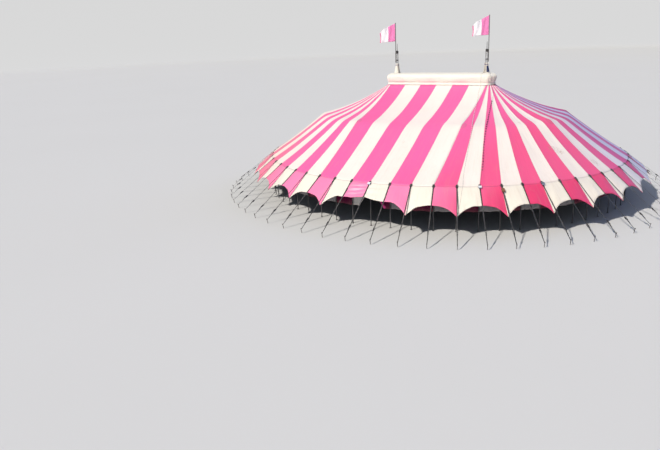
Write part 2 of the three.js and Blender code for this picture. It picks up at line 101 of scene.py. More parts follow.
# Side wall
WALL_STATION = 0.9925
WALL_BOTTOM = 1.2
WALL_TOP_GAP = 0.016
WALL_FOLD = 0.02
WALL_HEM_WAVE = 0.015
FLAP_RISE = 1.35
FLAP_GORES = 0.65

# Side poles, guys and stakes
SIDE_POLE_INSET = 0.03
SIDE_POLE_RADIUS = 0.028
SPIGOT_TOP = 2.838
GUY_TOP = 2.834
TIE_OUTSET = 3.374
TIE_HEIGHT = 0.25
STAKE_FOOT_OUTSET = 3.32
STAKE_TOP_OUTSET = 3.392
STAKE_HEIGHT = 0.33
CABLE_HEIGHT = 2.74
CABLE_RADIUS = 0.007
RATCHET_FROM_TIE = 0.95

# King poles, crown and flags
KING_POLE_X = 3.48
MASTS = {"left": -KING_POLE_X, "right": KING_POLE_X}
KING_POLE_TOP = 10.15
TOPMAST_TOP = 10.7
FLAG_POLE_FOOT = 9.3
FLAG_POLE_OUTSET = 0.122
FLAG_POLE_TOPS = {"left": 12.23, "right": 12.5}
CAP_TOP = 8.54
SLEEVE_HEIGHT = 0.69
FLAG_LENGTH = 1.17
FLAG_DEPTH = 1.31
FLAG_FALL = 0.72
WIND = np.array([-0.8586, -0.5127, 0.0])

# Cloth thicknesses and mesh steps
CANVAS = 0.003
WALL_CLOTH = 0.002
FLAG_CLOTH = 0.0015
CROWN_PADDING = 0.02
SHARP_ANGLE = math.radians(40)
ROOF_COLUMNS_A_GORE = 8
ROOF_ROWS_ABOVE = 41
ROOF_ROWS_BELOW = 37
VALANCE_COLUMNS_A_GORE = 16
VALANCE_ROWS = 17
WALL_COLUMNS_A_GORE = 24
WALL_ROWS = 13

# Places in the striped canvas's map, in metres down the cloth, and a gap too wide for any mark
VALANCE_START = 11
HEM_ROPE_PLACE = 12.5
NO_MARK_NEAR = 9.0

SECTIONS = {
    "front": (-6, 0),
    "right_front": (0, 13),
    "right_back": (13, 26),
    "back": (26, 32),
    "left_back": (32, 45),
    "left_front": (45, 58),
}
WALLS = {
    "front_left": (-6, ENTRANCE_SEAM, "front"),
    "front_right": (ENTRANCE_SEAM, 0, "front"),
    **{section: (*ends, section) for section, ends in SECTIONS.items() if section != "front"},
}

# Brown stains on the roof: place in plan, and size
STAINS = (
    ((9.3, -4.93), 0.25),
    ((9.75, -4.75), 0.3),
    ((11.75, -3.68), 0.3),
    ((6.98, -3.96), 0.12),
    ((0.52, -7.84), 0.12),
)

# Lamps, box and light strings. A route lists seam numbers and stations, or drops on the valance
LAMP_SEAMS = (-3, 2, 5)
LAMP_OUTSET = 0.1
BOX_SEAM = 3
BOX_OUTSET = 0.33
STRING_LIFT = 0.04
STRING_RADIUS = 0.004
DARK_STRING = (
    (4.12, 0.015), (4.1, 0.09), (3.1, 0.18), (2.65, 0.25), (2.35, 0.37), (2.15, 0.53), (2.05, 0.66),
    (2.07, 0.8), (2.03, 0.99),
)
PALE_STRING = (
    (-0.28, 0.015), (-0.2, 0.1), (0.1, 0.23), (0.45, 0.34), (0.8, 0.48), (1.0, 0.6), (1.15, 0.88),
    (1.25, 0.99),
)
PALE_STRING_ON_VALANCE = ((1.25, 0.02), (1.15, 0.5), (1.05, 0.88), (1.0, 0.98))


def unit(vectors):
    """Vectors divided by their lengths."""
    return vectors / np.linalg.norm(vectors, axis=-1, keepdims=True)


def join(*parts):
    """Coordinates broadcast together and stacked as the last axis."""
    return np.stack(np.broadcast_arrays(*parts), -1)


# Plan and heights


def plan(seam):
    """Crown and eave points of seams, in plan. On the straight crown a seam's two ends stand at even
    steps of x and the eave lies on the ellipse. Round an end the seams leave the fan's centre at even
    angles. The crown is where the ray meets a small ellipse round that centre, and the eave where it
    meets the large one, from the root of its quadratic. The other half is turned by half a turn."""
    number = np.mod(seam + STRAIGHT_GORES, SEAMS) - STRAIGHT_GORES
    turned = number > END_GORES
    number = np.where(turned, number - HALF_TURN, number)
    sign = np.where(turned, -1.0, 1.0)
    straight = number <= 0
    step = np.minimum(number, 0) + STRAIGHT_GORES / 2
    flat_x = step * EAVE_GORE
    flat_y = -EAVE_HALF_WIDTH * np.sqrt(1 - (flat_x / EAVE_HALF_LENGTH) ** 2)
    end_x = STRAIGHT_GORES / 2 * EAVE_GORE
    end_y = EAVE_HALF_WIDTH * math.sqrt(1 - (end_x / EAVE_HALF_LENGTH) ** 2)
    first = math.atan2(end_x - FAN_CENTRE, end_y)
    angle = first + number * (math.pi - 2 * first) / END_GORES
    ray = join(np.sin(angle), -np.cos(angle))
    square = (ray[..., 0] / EAVE_HALF_LENGTH) ** 2 + (ray[..., 1] / EAVE_HALF_WIDTH) ** 2
    linear = 2 * FAN_CENTRE * ray[..., 0] / EAVE_HALF_LENGTH**2
    rest = (FAN_CENTRE / EAVE_HALF_LENGTH) ** 2 - 1
    reach = (-linear + np.sqrt(linear**2 - 4 * square * rest)) / (2 * square)
    centre = np.array([FAN_CENTRE, 0.0])
    on_straight = straight[..., None]
    crown_reach = 1 / np.hypot(ray[..., :1] / CROWN_END, ray[..., 1:] / CROWN_HALF_WIDTH)
    crown = np.where(on_straight, join(step * CROWN_GORE, -CROWN_HALF_WIDTH), centre + crown_reach * ray)
    eave = np.where(on_straight, join(flat_x, flat_y), centre + reach[..., None] * ray)
    return crown * sign[..., None], eave * sign[..., None]


WHOLE = np.arange(-STRAIGHT_GORES, SEAMS - STRAIGHT_GORES + 1)
CROWN, EAVE = plan(WHOLE)
OUTWARD = unit(EAVE / np.array([EAVE_HALF_LENGTH**2, EAVE_HALF_WIDTH**2]))
POLES = np.arange(len(QUARTER_SEAMS) + 1)
POLE_PLACE = np.interp(WHOLE, (-STRAIGHT_GORES, *QUARTER_SEAMS), POLES)
KINK = KINK_HEIGHT - KINK_DIP * (1 - np.abs(2 * (POLE_PLACE % 1) - 1) ** KINK_SHARPNESS)
KINK_SHARE = np.interp(POLE_PLACE, POLES, np.where(POLES % 4 < 2, KINK_SHARE_SIDE, KINK_SHARE_END))
EDGE = np.array([ENTRANCE_EDGE.get(seam, TIP if seam % 2 else ARCH) for seam in WHOLE.tolist()])


def between(table, seam):
    """A whole-seam table's values at any seam numbers, straight between whole seams."""
    place = np.mod(seam + STRAIGHT_GORES, SEAMS)
    low = np.floor(place).astype(int)
    share = place - low
    if table.ndim > 1:
        share = share[..., None]
    return table[low] * (1 - share) + table[low + 1] * share


def hollow(seam):
    """0 at each seam and 1 midway between two, as a parabola."""
    part = seam - np.floor(seam)
    return 4 * part * (1 - part)


def ripple(x, y):
    """Gentle unevenness of stretched canvas: a few crossing sine waves, 1 to 3 m long, within about 1."""
    waves = np.sin(2.1 * x + 1.3 * y + 0.4) + np.sin(-1.2 * x + 2.6 * y + 1.7)
    return 0.4 * waves + 0.3 * np.sin(4.3 * x - 3.1 * y + 0.9) * np.sin(2.9 * y + 1.1 * x)


def plan_point(seam, station):
    """Plan point of the roof. The way out from the crown is straight to the quarter poles' line, and
    straight from there to the eave. That line lies further out at the tent's ends."""
    kink = between(KINK_SHARE, seam)
    above = kink * station / KINK_STATION
    below = 1 - (1 - kink) * (1 - station) / (1 - KINK_STATION)
    out = np.where(station < KINK_STATION, above, below)[..., None]
    return between(CROWN, seam) * (1 - out) + between(EAVE, seam) * out


TIPS = plan_point(np.array(QUARTER_SEAMS), np.full(len(QUARTER_SEAMS), KINK_STATION))


def tip_offset(x, y):
    """Distance and direction, in plan, from each point to the nearest quarter pole's tip."""
    gaps = join(x, y)[..., None, :] - TIPS
    distance = np.linalg.norm(gaps, axis=-1)
    nearest = distance.argmin(-1)[..., None]
    gap = np.take_along_axis(gaps, nearest[..., None], -2)[..., 0, :]
    return np.take_along_axis(distance, nearest, -1)[..., 0], np.arctan2(gap[..., 1], gap[..., 0])


def roof(seam, station):
    """The roof's upper face. Its height runs from the crown to the quarter poles' line, and from there to
    the eave, each stretch sagging as a parabola. Between poles the ridge where they meet is rounded, by a
    share of log(1 + exp(-2 |distance| / width)). Less than that, the canvas sinks between seams as a
    parabola, five times as deep at the eave as at the crown, and ripples. Round the crown and the pole
    tips it has creases, sine waves that fade with the distance as exp(-distance / reach)."""
    seam, station = np.broadcast_arrays(seam, station)
    ground = plan_point(seam, station)
    x, y = ground[..., 0], ground[..., 1]
    kink = between(KINK, seam)
    upper = station / KINK_STATION
    lower = (station - KINK_STATION) / (1 - KINK_STATION)
    high = CROWN_HEIGHT + (kink - CROWN_HEIGHT) * upper - 4 * UPPER_SAG * upper * (1 - upper)
    low = kink + (EAVE_HEIGHT - kink) * lower - 4 * LOWER_SAG * lower * (1 - lower)
    height = np.where(station < KINK_STATION, high, low)
    between_poles = (KINK_HEIGHT - kink) / KINK_DIP
    width = KINK_WIDTH_AT_POLES + KINK_WIDTH_BETWEEN * between_poles
    bend = np.log1p(np.exp(-2 * np.abs(station - KINK_STATION) / width))
    height = height - KINK_ROUNDING * width * bend
    height = height - SEAM_SINK * hollow(seam) * (0.2 + 0.8 * station)
    ends = np.sin(math.pi * np.clip(station, 0, 1)) ** 0.5
    height = height + RIPPLE_HEIGHT * ripple(x, y) * ends
    crease = np.sin(2 * math.pi * CROWN_CREASES_A_GORE * seam)
    height = height + CROWN_CREASE * np.exp(-station / CROWN_CREASE_REACH) * crease
    distance, angle = tip_offset(x, y)
    crease = np.sin(TIP_CREASES * angle) * np.minimum(distance / 0.3, 1)
    height = height + TIP_CREASE * np.exp(-distance / TIP_CREASE_REACH) * crease
    return join(x, y, height)


def beside(seam, outset, height):
    """Points out from the eave along the outward direction, at a height."""
    ground = between(EAVE, seam) + between(OUTWARD, seam) * np.asarray(outset)[..., None]
    return join(ground[..., 0], ground[..., 1], height)


def valance_edge(seam):
    """Outset and height of the scalloped edge: an arch at each even seam falls to a tip at each odd one,
    by a power of the distance from the even seam, counted in gores."""
    even = 2 * np.round(seam / 2)
    odd = np.where(seam >= even, even + 1, even - 1)
    share = (np.abs(seam - even) ** ARCH_POWER)[..., None]
    return between(EDGE, even) * (1 - share) + between(EDGE, odd) * share


def valance(seam, drop):
    """The valance's outer face, from the roof's edge at drop 0 to the scalloped edge at drop 1, straight
    but for a slight belly between the straps, soft folds that deepen downwards as sine waves of the seam
    number, and the gather at the entrance: sine waves of the drop within a bell round its seam."""
    seam, drop = np.broadcast_arrays(seam, drop)
    top = roof(seam, np.ones_like(seam))
    edge = valance_edge(seam)
    bottom = beside(seam, edge[..., 0], edge[..., 1])
    points = top + (bottom - top) * drop[..., None]
    belly = VALANCE_BELLY * np.sin(math.pi * drop) * (hollow(seam) - 0.3)
    folds = VALANCE_FOLD * drop * np.sin(2 * math.pi * (1.5 * seam + 0.35 * np.sin(2.2 * seam + 2 * drop)))
    from_entrance = seam - ENTRANCE_SEAM
    gather = np.exp(-((from_entrance / GATHER_GORES) ** 2)) * np.sin(math.pi * drop)
    folds = folds + GATHER_DEPTH * gather * np.sin(15 * drop + 2.5 * np.abs(from_entrance))
    points[..., 2] += belly + folds
    return points


def wall_bottom(seam):
    """Height of the side wall's hem: level, but each flap beside the entrance is drawn aside, so that its
    hem climbs straight to the top of the opening."""
    open_share = np.clip(1 - np.abs(seam - ENTRANCE_SEAM) / FLAP_GORES, 0, 1)
    return WALL_BOTTOM + FLAP_RISE * open_share


def side_wall(seam, drop):
    """The side wall's outer face, hung under the roof just inside the eave. Its gathers, broad and fine
    sine waves of the seam number, deepen downwards."""
    seam, drop = np.broadcast_arrays(seam, drop)
    top = roof(seam, np.full_like(seam, WALL_STATION))
    top[..., 2] -= WALL_TOP_GAP
    broad = np.sin(2 * math.pi * (3 * seam + 0.4 * np.sin(1.7 * seam)))
    fine = 0.5 * np.sin(2 * math.pi * 7.3 * seam + 1)
    out = WALL_FOLD * (broad + fine) * (0.35 + 0.65 * drop)
    ground = top[..., :2] + between(OUTWARD, seam) * out[..., None]
    hem = wall_bottom(seam) + WALL_HEM_WAVE * np.sin(2 * math.pi * 1.5 * seam)
    return join(ground[..., 0], ground[..., 1], top[..., 2] + (hem - top[..., 2]) * drop)


# Shapes as arrays of points and faces


def quads(rows, columns, around=False):
    """Corner numbers of a grid's quads, which face along (down a column) x (along a row). With around,
    each row closes on itself."""
    wide = columns if around else columns - 1
    row, column = np.meshgrid(np.arange(rows - 1), np.arange(wide), indexing="ij")
    after = (column + 1) % columns
    above, below = row * columns, (row + 1) * columns
    return np.stack((above + column, below + column, below + after, above + after), -1).reshape(-1, 4)


class Pile:
    """Points and faces of many shapes, gathered as whole arrays, each face with its material's number."""

    def __init__(self):
        self.points, self.faces, self.paints = [], [], []
        self.count = 0

    def add(self, points, faces, paint=0):
        """Adds one shape: points of any grid shape, and arrays of faces that number them from 0."""
        flat = np.asarray(points, float).reshape(-1, 3)
        for group in faces if isinstance(faces, (list, tuple)) else [faces]:
            self.faces.append(np.asarray(group) + self.count)
            self.paints.append(np.full(len(group), paint))
        self.points.append(flat)
        self.count += len(flat)
        return self

    def copies(self, origins, frames):
        """A pile with this one's shapes at each origin, turned so that their axes follow each frame's
        rows."""
        points = np.concatenate(self.points)
        placed = origins[:, None, :] + points[None] @ frames
        many = Pile()
        many.points = [placed.reshape(-1, 3)]
        many.count = placed.shape[0] * placed.shape[1]
        steps = np.arange(len(origins)) * len(points)
        for group, paint in zip(self.faces, self.paints):
            many.faces.append((group[None] + steps[:, None, None]).reshape(-1, group.shape[1]))
            many.paints.append(np.tile(paint, len(origins)))
        return many

    def merge(self, other):
        """Adds another pile's shapes."""
        for group, paint in zip(other.faces, other.paints):
            self.faces.append(group + self.count)
            self.paints.append(paint)
        self.points += other.points
        self.count += other.count
        return self


def block(low, high):
    """A box between two corners: its eight corners and six outward faces."""
    x, y, z = zip(low, high)
    points = np.array([(i, j, k) for k in z for j in y for i in x])
    faces = np.array([(0, 2, 3, 1), (4, 5, 7, 6), (0, 1, 5, 4), (2, 6, 7, 3), (0, 4, 6, 2), (1, 3, 7, 5)])
    return points, faces


def turned(profile, sides=24, wobble=None):
    """A profile of radii and heights, listed from the top down, carried round the Z axis and capped at
    both ends. wobble(angle, height) multiplies the radius."""
    line = np.asarray(profile, float)
    angle = np.arange(sides) * 2 * math.pi / sides
    radius = np.broadcast_to(line[:, :1], (len(line), sides))
    height = np.broadcast_to(line[:, 1:], (len(line), sides))
    if wobble:
        radius = radius * wobble(angle, height)
    points = join(radius * np.cos(angle), radius * np.sin(angle), height)
    last = (len(line) - 1) * sides
    top = np.arange(sides)[None]
    return points, [quads(len(line), sides, around=True), top, last + top[:, ::-1]]


def rods(starts, ends, radius, sides=8):
    """Straight round bars between pairs of points: rings of corners about each line, with capped ends."""
    starts, ends = np.broadcast_arrays(np.atleast_2d(starts), np.atleast_2d(ends))
    along = unit(ends - starts)
    lean = np.where(np.abs(along[:, 2:]) > 0.9, np.array([[1.0, 0, 0]]), np.array([[0, 0, 1.0]]))
    across = unit(np.cross(lean, along))
    above = np.cross(along, across)
    angle = np.arange(sides) * 2 * math.pi / sides
    ring = radius * (np.cos(angle)[:, None] * across[:, None] + np.sin(angle)[:, None] * above[:, None])
    points = np.stack([ends[:, None] + ring, starts[:, None] + ring], 1)
    shape = np.arange(len(starts))[:, None, None] * 2 * sides
    sheath = (shape + quads(2, sides, around=True)[None]).reshape(-1, 4)
    caps = np.concatenate([np.arange(sides)[None], sides + np.arange(sides)[None, ::-1]])
    return points, [sheath, (shape + caps[None]).reshape(-1, sides)]


def tube(path, radius, sides=8):
    """A round section carried along a path of points, its ring square to the path, with capped ends."""
    path = np.asarray(path, float)
    along = unit(np.gradient(path, axis=0))
    across = unit(np.cross(np.array([0.0, 0, 1]), along))
    above = np.cross(along, across)
    angle = -np.arange(sides) * 2 * math.pi / sides
    ring = np.cos(angle)[:, None] * across[:, None] + np.sin(angle)[:, None] * above[:, None]
    points = path[:, None] + radius * ring
    last = (len(path) - 1) * sides
    caps = np.arange(sides)[None]
    return points, [quads(len(path), sides, around=True), caps, last + caps[:, ::-1]]


def smooth_line(points, count):
    """A Catmull-Rom curve through the points: each stretch is the cubic whose slope at an end is half the
    step between that end's neighbours."""
    line = np.asarray(points, float)
    line = np.concatenate([2 * line[:1] - line[1:2], line, 2 * line[-1:] - line[-2:-1]])
    place = np.linspace(0, len(points) - 1, count)
    low = np.minimum(place.astype(int), len(points) - 2)
    t = (place - low)[:, None]
    a, b, c, d = (line[low + k] for k in range(4))
    square = 2 * a - 5 * b + 4 * c - d
    cube = 3 * b - a - 3 * c + d
    return 0.5 * (2 * b + (c - a) * t + square * t**2 + cube * t**3)


# Shader maths


class Wire:
    """One output of a shader node. Python's operators on it add Math nodes."""

    def __init__(self, recipe, socket):
        self.recipe, self.socket = recipe, socket

    def __add__(self, other):
        return self.recipe.math("ADD", self, other)

    def __sub__(self, other):
        return self.recipe.math("SUBTRACT", self, other)

    def __rsub__(self, other):
        return self.recipe.math("SUBTRACT", other, self)

    def __mul__(self, other):
        return self.recipe.math("MULTIPLY", self, other)

    def __lt__(self, other):
        return self.recipe.math("LESS_THAN", self, other)

    def __gt__(self, other):
        return self.recipe.math("GREATER_THAN", self, other)

    __radd__ = __add__
    __rmul__ = __mul__


class Recipe:
    """Builds one material's nodes round a Principled shader."""

    def __init__(self, name):
        self.material = bpy.data.materials.new(name)
        self.material.use_nodes = True
        self.tree = self.material.node_tree
        self.shader = self.tree.nodes["Principled BSDF"]

    def node(self, kind, settings=None, values=None, out=0):
        """Adds a node: its settings are set first, then the values or links of its sockets."""
        node = self.tree.nodes.new(kind)
        for name, value in (settings or {}).items():
            setattr(node, name, value)
        for name, value in (values or {}).items():
            self.plug(node.inputs[name], value)
        return Wire(self, node.outputs[out])

    def plug(self, socket, value):
        """Links a wire to a socket, or sets its value."""
        if isinstance(value, Wire):
            self.tree.links.new(value.socket, socket)
        else:
            socket.default_value = (*value, 1) if socket.type == "RGBA" else value

    def math(self, operation, a, b=0.0):
        """A Math node of one or two values."""
        return self.node("ShaderNodeMath", {"operation": operation}, {0: a, 1: b})

    def step(self, value, low, high, start=0.0, end=1.0):
        """A smooth step: start up to low, end from high on."""
        sockets = {"Value": value, "From Min": low, "From Max": high, "To Min": start, "To Max": end}
        return self.node("ShaderNodeMapRange", {"interpolation_type": "SMOOTHSTEP"}, sockets)

    def tint(self, share, under, over, mode="MIX"):
        """Two colours mixed by a share."""
        settings = {"data_type": "RGBA", "blend_type": mode}
        return self.node("ShaderNodeMix", settings, {0: share, 6: under, 7: over}, out=2)

    def noise(self, place, scale, detail=3.0, roughness=0.5, distortion=0.0):
        """Fractal noise from 0 to 1."""
        sockets = {"Vector": place, "Scale": scale, "Detail": detail, "Roughness": roughness}
        return self.node("ShaderNodeTexNoise", None, {**sockets, "Distortion": distortion})

    def cells(self, place, scale):
        """Distance to the nearest of scattered points, in cells."""
        sockets = {"Vector": place, "Scale": scale}
        return self.node("ShaderNodeTexVoronoi", {"feature": "F1"}, sockets)

    def scaled(self, place, factors):
        """A place multiplied axis by axis."""
        return self.node("ShaderNodeVectorMath", {"operation": "MULTIPLY"}, {0: place, 1: factors})

    def object_place(self):
        """Object coordinates, which are metres in the tent's frame."""
        return self.node("ShaderNodeTexCoord", out=3)

    def mark(self, name):
        """A number stored on the mesh's points."""
        settings = {"attribute_type": "GEOMETRY", "attribute_name": name}
        return self.node("ShaderNodeAttribute", settings, out=2)

    def weave_place(self):
        """The cloth's own map: seam number, and metres down the cloth."""
        return self.node("ShaderNodeUVMap", {"uv_map": "cloth"})

    def axis(self, place, number):
        """One coordinate of a place."""
        return self.node("ShaderNodeSeparateXYZ", None, {0: place}, out=number)

    def bump(self, height, distance, strength=1.0, under=None):
        """A bump of that height in metres, over another bump."""
        sockets = {"Height": height, "Distance": distance, "Strength": strength}
        if under:
            sockets["Normal"] = under
        return self.node("ShaderNodeBump", None, sockets)

    def finish(self, colour, roughness, normal=None, **constants):
        """Sets the Principled shader's sockets; constants are named with _ for a space."""
        values = {"Base Color": colour, "Roughness": roughness}
        values.update({name.replace("_", " "): value for name, value in constants.items()})
        if normal:
            values["Normal"] = normal
        for name, value in values.items():
            self.plug(self.shader.inputs[name], value)
        return self.material


# Colours, linear. A pair's two colours are mixed by noise or wear, and the pinks' pairs also by place, as
# painted shade

# The second pink of each pair, darker and redder, is partly painted shade for the right end
ROOF_PINKS = ((0.88, 0.122, 0.352), (0.81, 0.092, 0.24))
ROOF_WHITE = (0.85, 0.768, 0.715)
VALANCE_PINKS = ((0.88, 0.21, 0.41), (0.76, 0.05, 0.16))
VALANCE_WHITE = (0.81, 0.75, 0.66)
# Painted sunlight: the left end's pink and white as warm light falls on them
SALMON = (0.8, 0.2, 0.29)
PEACH = (0.88, 0.74, 0.62)
# Painted shade: a sky-blue violet multiplied over the gores round the right end
PAINTED_SHADE_VIOLET = (0.5, 0.62, 1.0)
# Painted sheen: pale streaks laid on the gathered valance
PAINTED_SHEEN_PALE = (0.95, 0.9, 0.95)
SKY_SHEEN = (0.55, 0.45, 1.0)
# Near black: the lining's own coating, kept this dark partly as painted shade of the tent's inside
LINING_BLACKS = ((0.012, 0.011, 0.014), (0.04, 0.035, 0.042))
# Painted shade: the side wall's white cloth as grey and its pink cloth as dark magenta
SHADED_WALL_WHITES = ((0.3, 0.29, 0.31), (0.22, 0.21, 0.23))
SHADED_WALL_PINKS = ((0.13, 0.003, 0.045), (0.08, 0.002, 0.03))
# Painted light: wall cloth beside the entrance, a paler grey and a bright pink, as if lit
LIT_GREY = (0.62, 0.59, 0.57)
LIT_PINK = (0.8, 0.06, 0.33)
CROWN_CREAMS = ((0.85, 0.81, 0.73), (0.8, 0.76, 0.66))
NAVY = (0.02, 0.03, 0.11)
FLAG_PINKS = ((0.98, 0.3, 0.62), (0.95, 0.24, 0.54))
FLAG_WHITES = ((0.97, 0.97, 1.0), (0.92, 0.92, 0.97))
FLAG_EDGE = (0.85, 0.25, 0.45)
WEBBING_BLACK = (0.012, 0.012, 0.014)
LENS_PALE = (0.9, 0.95, 1.0)
LENS_BLUE = (0.35, 0.5, 0.85)
BUCKLE_SHADE = (0.05, 0.04, 0.045)
DUST = (0.5, 0.36, 0.24)
GREY_DUST = (0.11, 0.105, 0.1)
GRIME = (0.2, 0.16, 0.13)
STAIN_BROWN = (0.4, 0.24, 0.14)
WATER_STAIN = (0.42, 0.28, 0.16)
RUST = (0.2, 0.075, 0.03)
BLACK = (0.0, 0.0, 0.0)

# Where the striped canvas changes colour, partly as painted light and shade: metres along the tent, metres
# from the palest line, and seams
PALEST_X = -3.0
# Partly painted shade: the distances from the palest line over which the pink turns redder and darker
ROOF_REDDENS = (8.2, 13.8)
VALANCE_REDDENS = (9.6, 16.4)
# Painted sunlight: from here to the left end the gores turn salmon and peach
PAINTED_SUNLIGHT_FROM_X = -6.5
PAINTED_SUNLIGHT_TO_X = -12.0
# Painted shade: seams over which the violet rises round the right end, and where it fades out
PAINTED_SHADE_SEAMS = (8.6, 15.0)
PAINTED_SHADE_END_SEAMS = (16.0, 20.0)

# Widths of marks on the striped canvas, in metres
WELD_EDGE = (0.024, 0.032)
RIM_EDGE = (0.015, 0.04)
BUCKLE_EDGE = (0.06, 0.15)
BUCKLE_END = (0.12, 0.26)
PATCH_EDGE = (0.34, 0.36)


# Finishes


def gore_colours(r, seam, down, place, pinks, redden, white):
    """Pink on the gores that start at an even seam and white on the others. The pink is redder and darker
    the further it is from the palest line, towards the ends, and down the slope, as well as at random;
    towards the right end this is painted shade. At the left end both are painted as sunlit, salmon and
    peach. Gives the share of pink with the colour."""
    is_pink = r.math("FRACT", seam * 0.5) < 0.5
    fade = r.noise(place, 0.35, 2)
    from_palest = r.math("ABSOLUTE", r.axis(place, 0) - PALEST_X)
    # Partly painted shade: the pink reddens and darkens towards the ends and down the slope
    redder = r.step(from_palest + down * 0.35 + fade * 0.8, *redden)
    # Painted sunlight: the left end's gores are warmed to salmon and peach
    painted_sunlight = r.step(r.axis(place, 0), PAINTED_SUNLIGHT_TO_X, PAINTED_SUNLIGHT_FROM_X, 1.0, 0.0)
    pink = r.tint(painted_sunlight, r.tint(redder, *pinks), SALMON)
    dull_white = tuple(part * 0.96 for part in white)
    white = r.tint(r.step(fade, 0.3, 0.7), white, dull_white)
    white = r.tint(painted_sunlight * 0.8, white, PEACH)
    return is_pink, r.tint(is_pink, white, pink)


def cloth_dirt(r, along, down, place, soil):
    """Share of dust on the cloth: streaks down the gores, blotches and specks, more of it low down."""
    streaks = r.step(r.noise(r.scaled(along, (9.0, 0.5, 1.0)), 1.0, 4, 0.6), 0.48, 0.78)
    blotches = r.step(r.noise(place, 1.6, 5, 0.65), 0.55, 0.8)
    specks = r.step(r.noise(place, 9.0, 3, 0.7), 0.66, 0.74)
    low_down = r.step(down, 5.0, 13.0, 0.45, 1.0)
    return (streaks * 0.16 + blotches * 0.14 + specks * 0.12) * low_down * soil


def cloth_relief(r, along, place, raised, grain, deep):
    """Bumps of the cloth: creases down the slope, broad folds, the raised welds and patches, and
    weave."""
    creases = r.noise(r.scaled(along, (3.2, 0.55, 1.0)), 1.0, 4, 0.55, 0.4)
    folds = r.noise(place, 0.9, 3, 0.5)
    weave = r.noise(place, 420.0, 1)
    relief = r.bump(creases, 0.05 * deep, 0.5)
    relief = r.bump(folds, 0.08 * deep, 0.4, relief)
    relief = r.bump(raised, 0.003, 0.8, relief)
    return r.bump(weave * 0.4 + grain * 0.6, 0.0015, 0.35, relief)


def striped_canvas(name, pinks, redden, white, soil, deep=1.0):
    """Coated canvas in pink and white gores, with dust, a few brown stains, welds beside the seams, a
    stitched rim and buckles' shade at the eave, and patches round the quarter poles. Where the cloth is
    gathered it has a painted sheen in pale streaks, and round the right end a painted violet shade."""
    r = Recipe(name)
    cloth = r.weave_place()
    place = r.object_place()
    seam, down = r.axis(cloth, 0), r.axis(cloth, 1)
    along = r.node("ShaderNodeCombineXYZ", None, {0: seam, 1: down})
    seam_gap, eave_gap, tip_gap = (r.mark(key) for key in ("seam_gap", "eave_gap", "tip_gap"))
    is_pink, colour = gore_colours(r, seam, down, place, pinks, redden, white)
    dirt = cloth_dirt(r, along, down, place, soil)
    colour = r.tint(dirt, colour, DUST)
    specked = r.step(r.noise(r.scaled(place, (1.0, 1.0, 2.5)), 9.0, 5, 0.8), 0.48, 0.6)
    colour = r.tint(r.step(r.mark("stain"), 0.15, 0.8) * specked * 0.6, colour, STAIN_BROWN)
    # Painted sheen: pale streaks where the valance is gathered
    colour = r.tint(r.mark("rubbed"), colour, PAINTED_SHEEN_PALE)
    weld = 1 - r.step(seam_gap, *WELD_EDGE)
    colour = r.tint(weld * 0.1, colour, GRIME)
    stitched = r.step(r.noise(place, 2.2, 2), 0.4, 0.6, 0.35, 1.0)
    rim = (1 - r.step(eave_gap, *RIM_EDGE)) * stitched
    colour = r.tint(rim * 0.06, colour, GRIME)
    at_buckle = 1 - r.step(seam_gap + eave_gap * 0.45, *BUCKLE_EDGE)
    at_buckle = at_buckle * (1 - r.step(eave_gap, *BUCKLE_END))
    colour = r.tint(at_buckle * 0.7, colour, BUCKLE_SHADE)
    # Painted shade: the gores round the right end are multiplied towards violet
    violet = r.step(seam, *PAINTED_SHADE_SEAMS) * r.step(seam, *PAINTED_SHADE_END_SEAMS, 0.8, 0.0)
    colour = r.tint(violet, colour, PAINTED_SHADE_VIOLET, "MULTIPLY")
    patch = 1 - r.step(tip_gap + 0.05 * r.noise(place, 3.0), *PATCH_EDGE)
    colour = r.tint(patch * is_pink * 0.22, colour, GRIME)
    grain = r.noise(place, 30.0, 2)
    relief = cloth_relief(r, along, place, weld + patch, grain, deep)
    roughness = 0.44 + dirt * 0.5 + grain * 0.1
    gloss = {"Sheen_Weight": 0.14, "Sheen_Tint": SKY_SHEEN, "Specular_IOR_Level": 0.35}
    return r.finish(colour, roughness, relief, **gloss)


def lining():
    """The canvas's dark inner face: grey-black coating with paler scuffs and weave, made near black partly
    as painted shade of the tent's inside.
    """
    r = Recipe("dark_lining")
    place = r.object_place()
    scuffs = r.step(r.noise(place, 2.0, 4, 0.6), 0.5, 0.8)
    colour = r.tint(scuffs * 0.5, *LINING_BLACKS)
    return r.finish(colour, 0.75 + scuffs * 0.1, r.bump(r.noise(place, 300.0, 1), 0.001, 0.3))


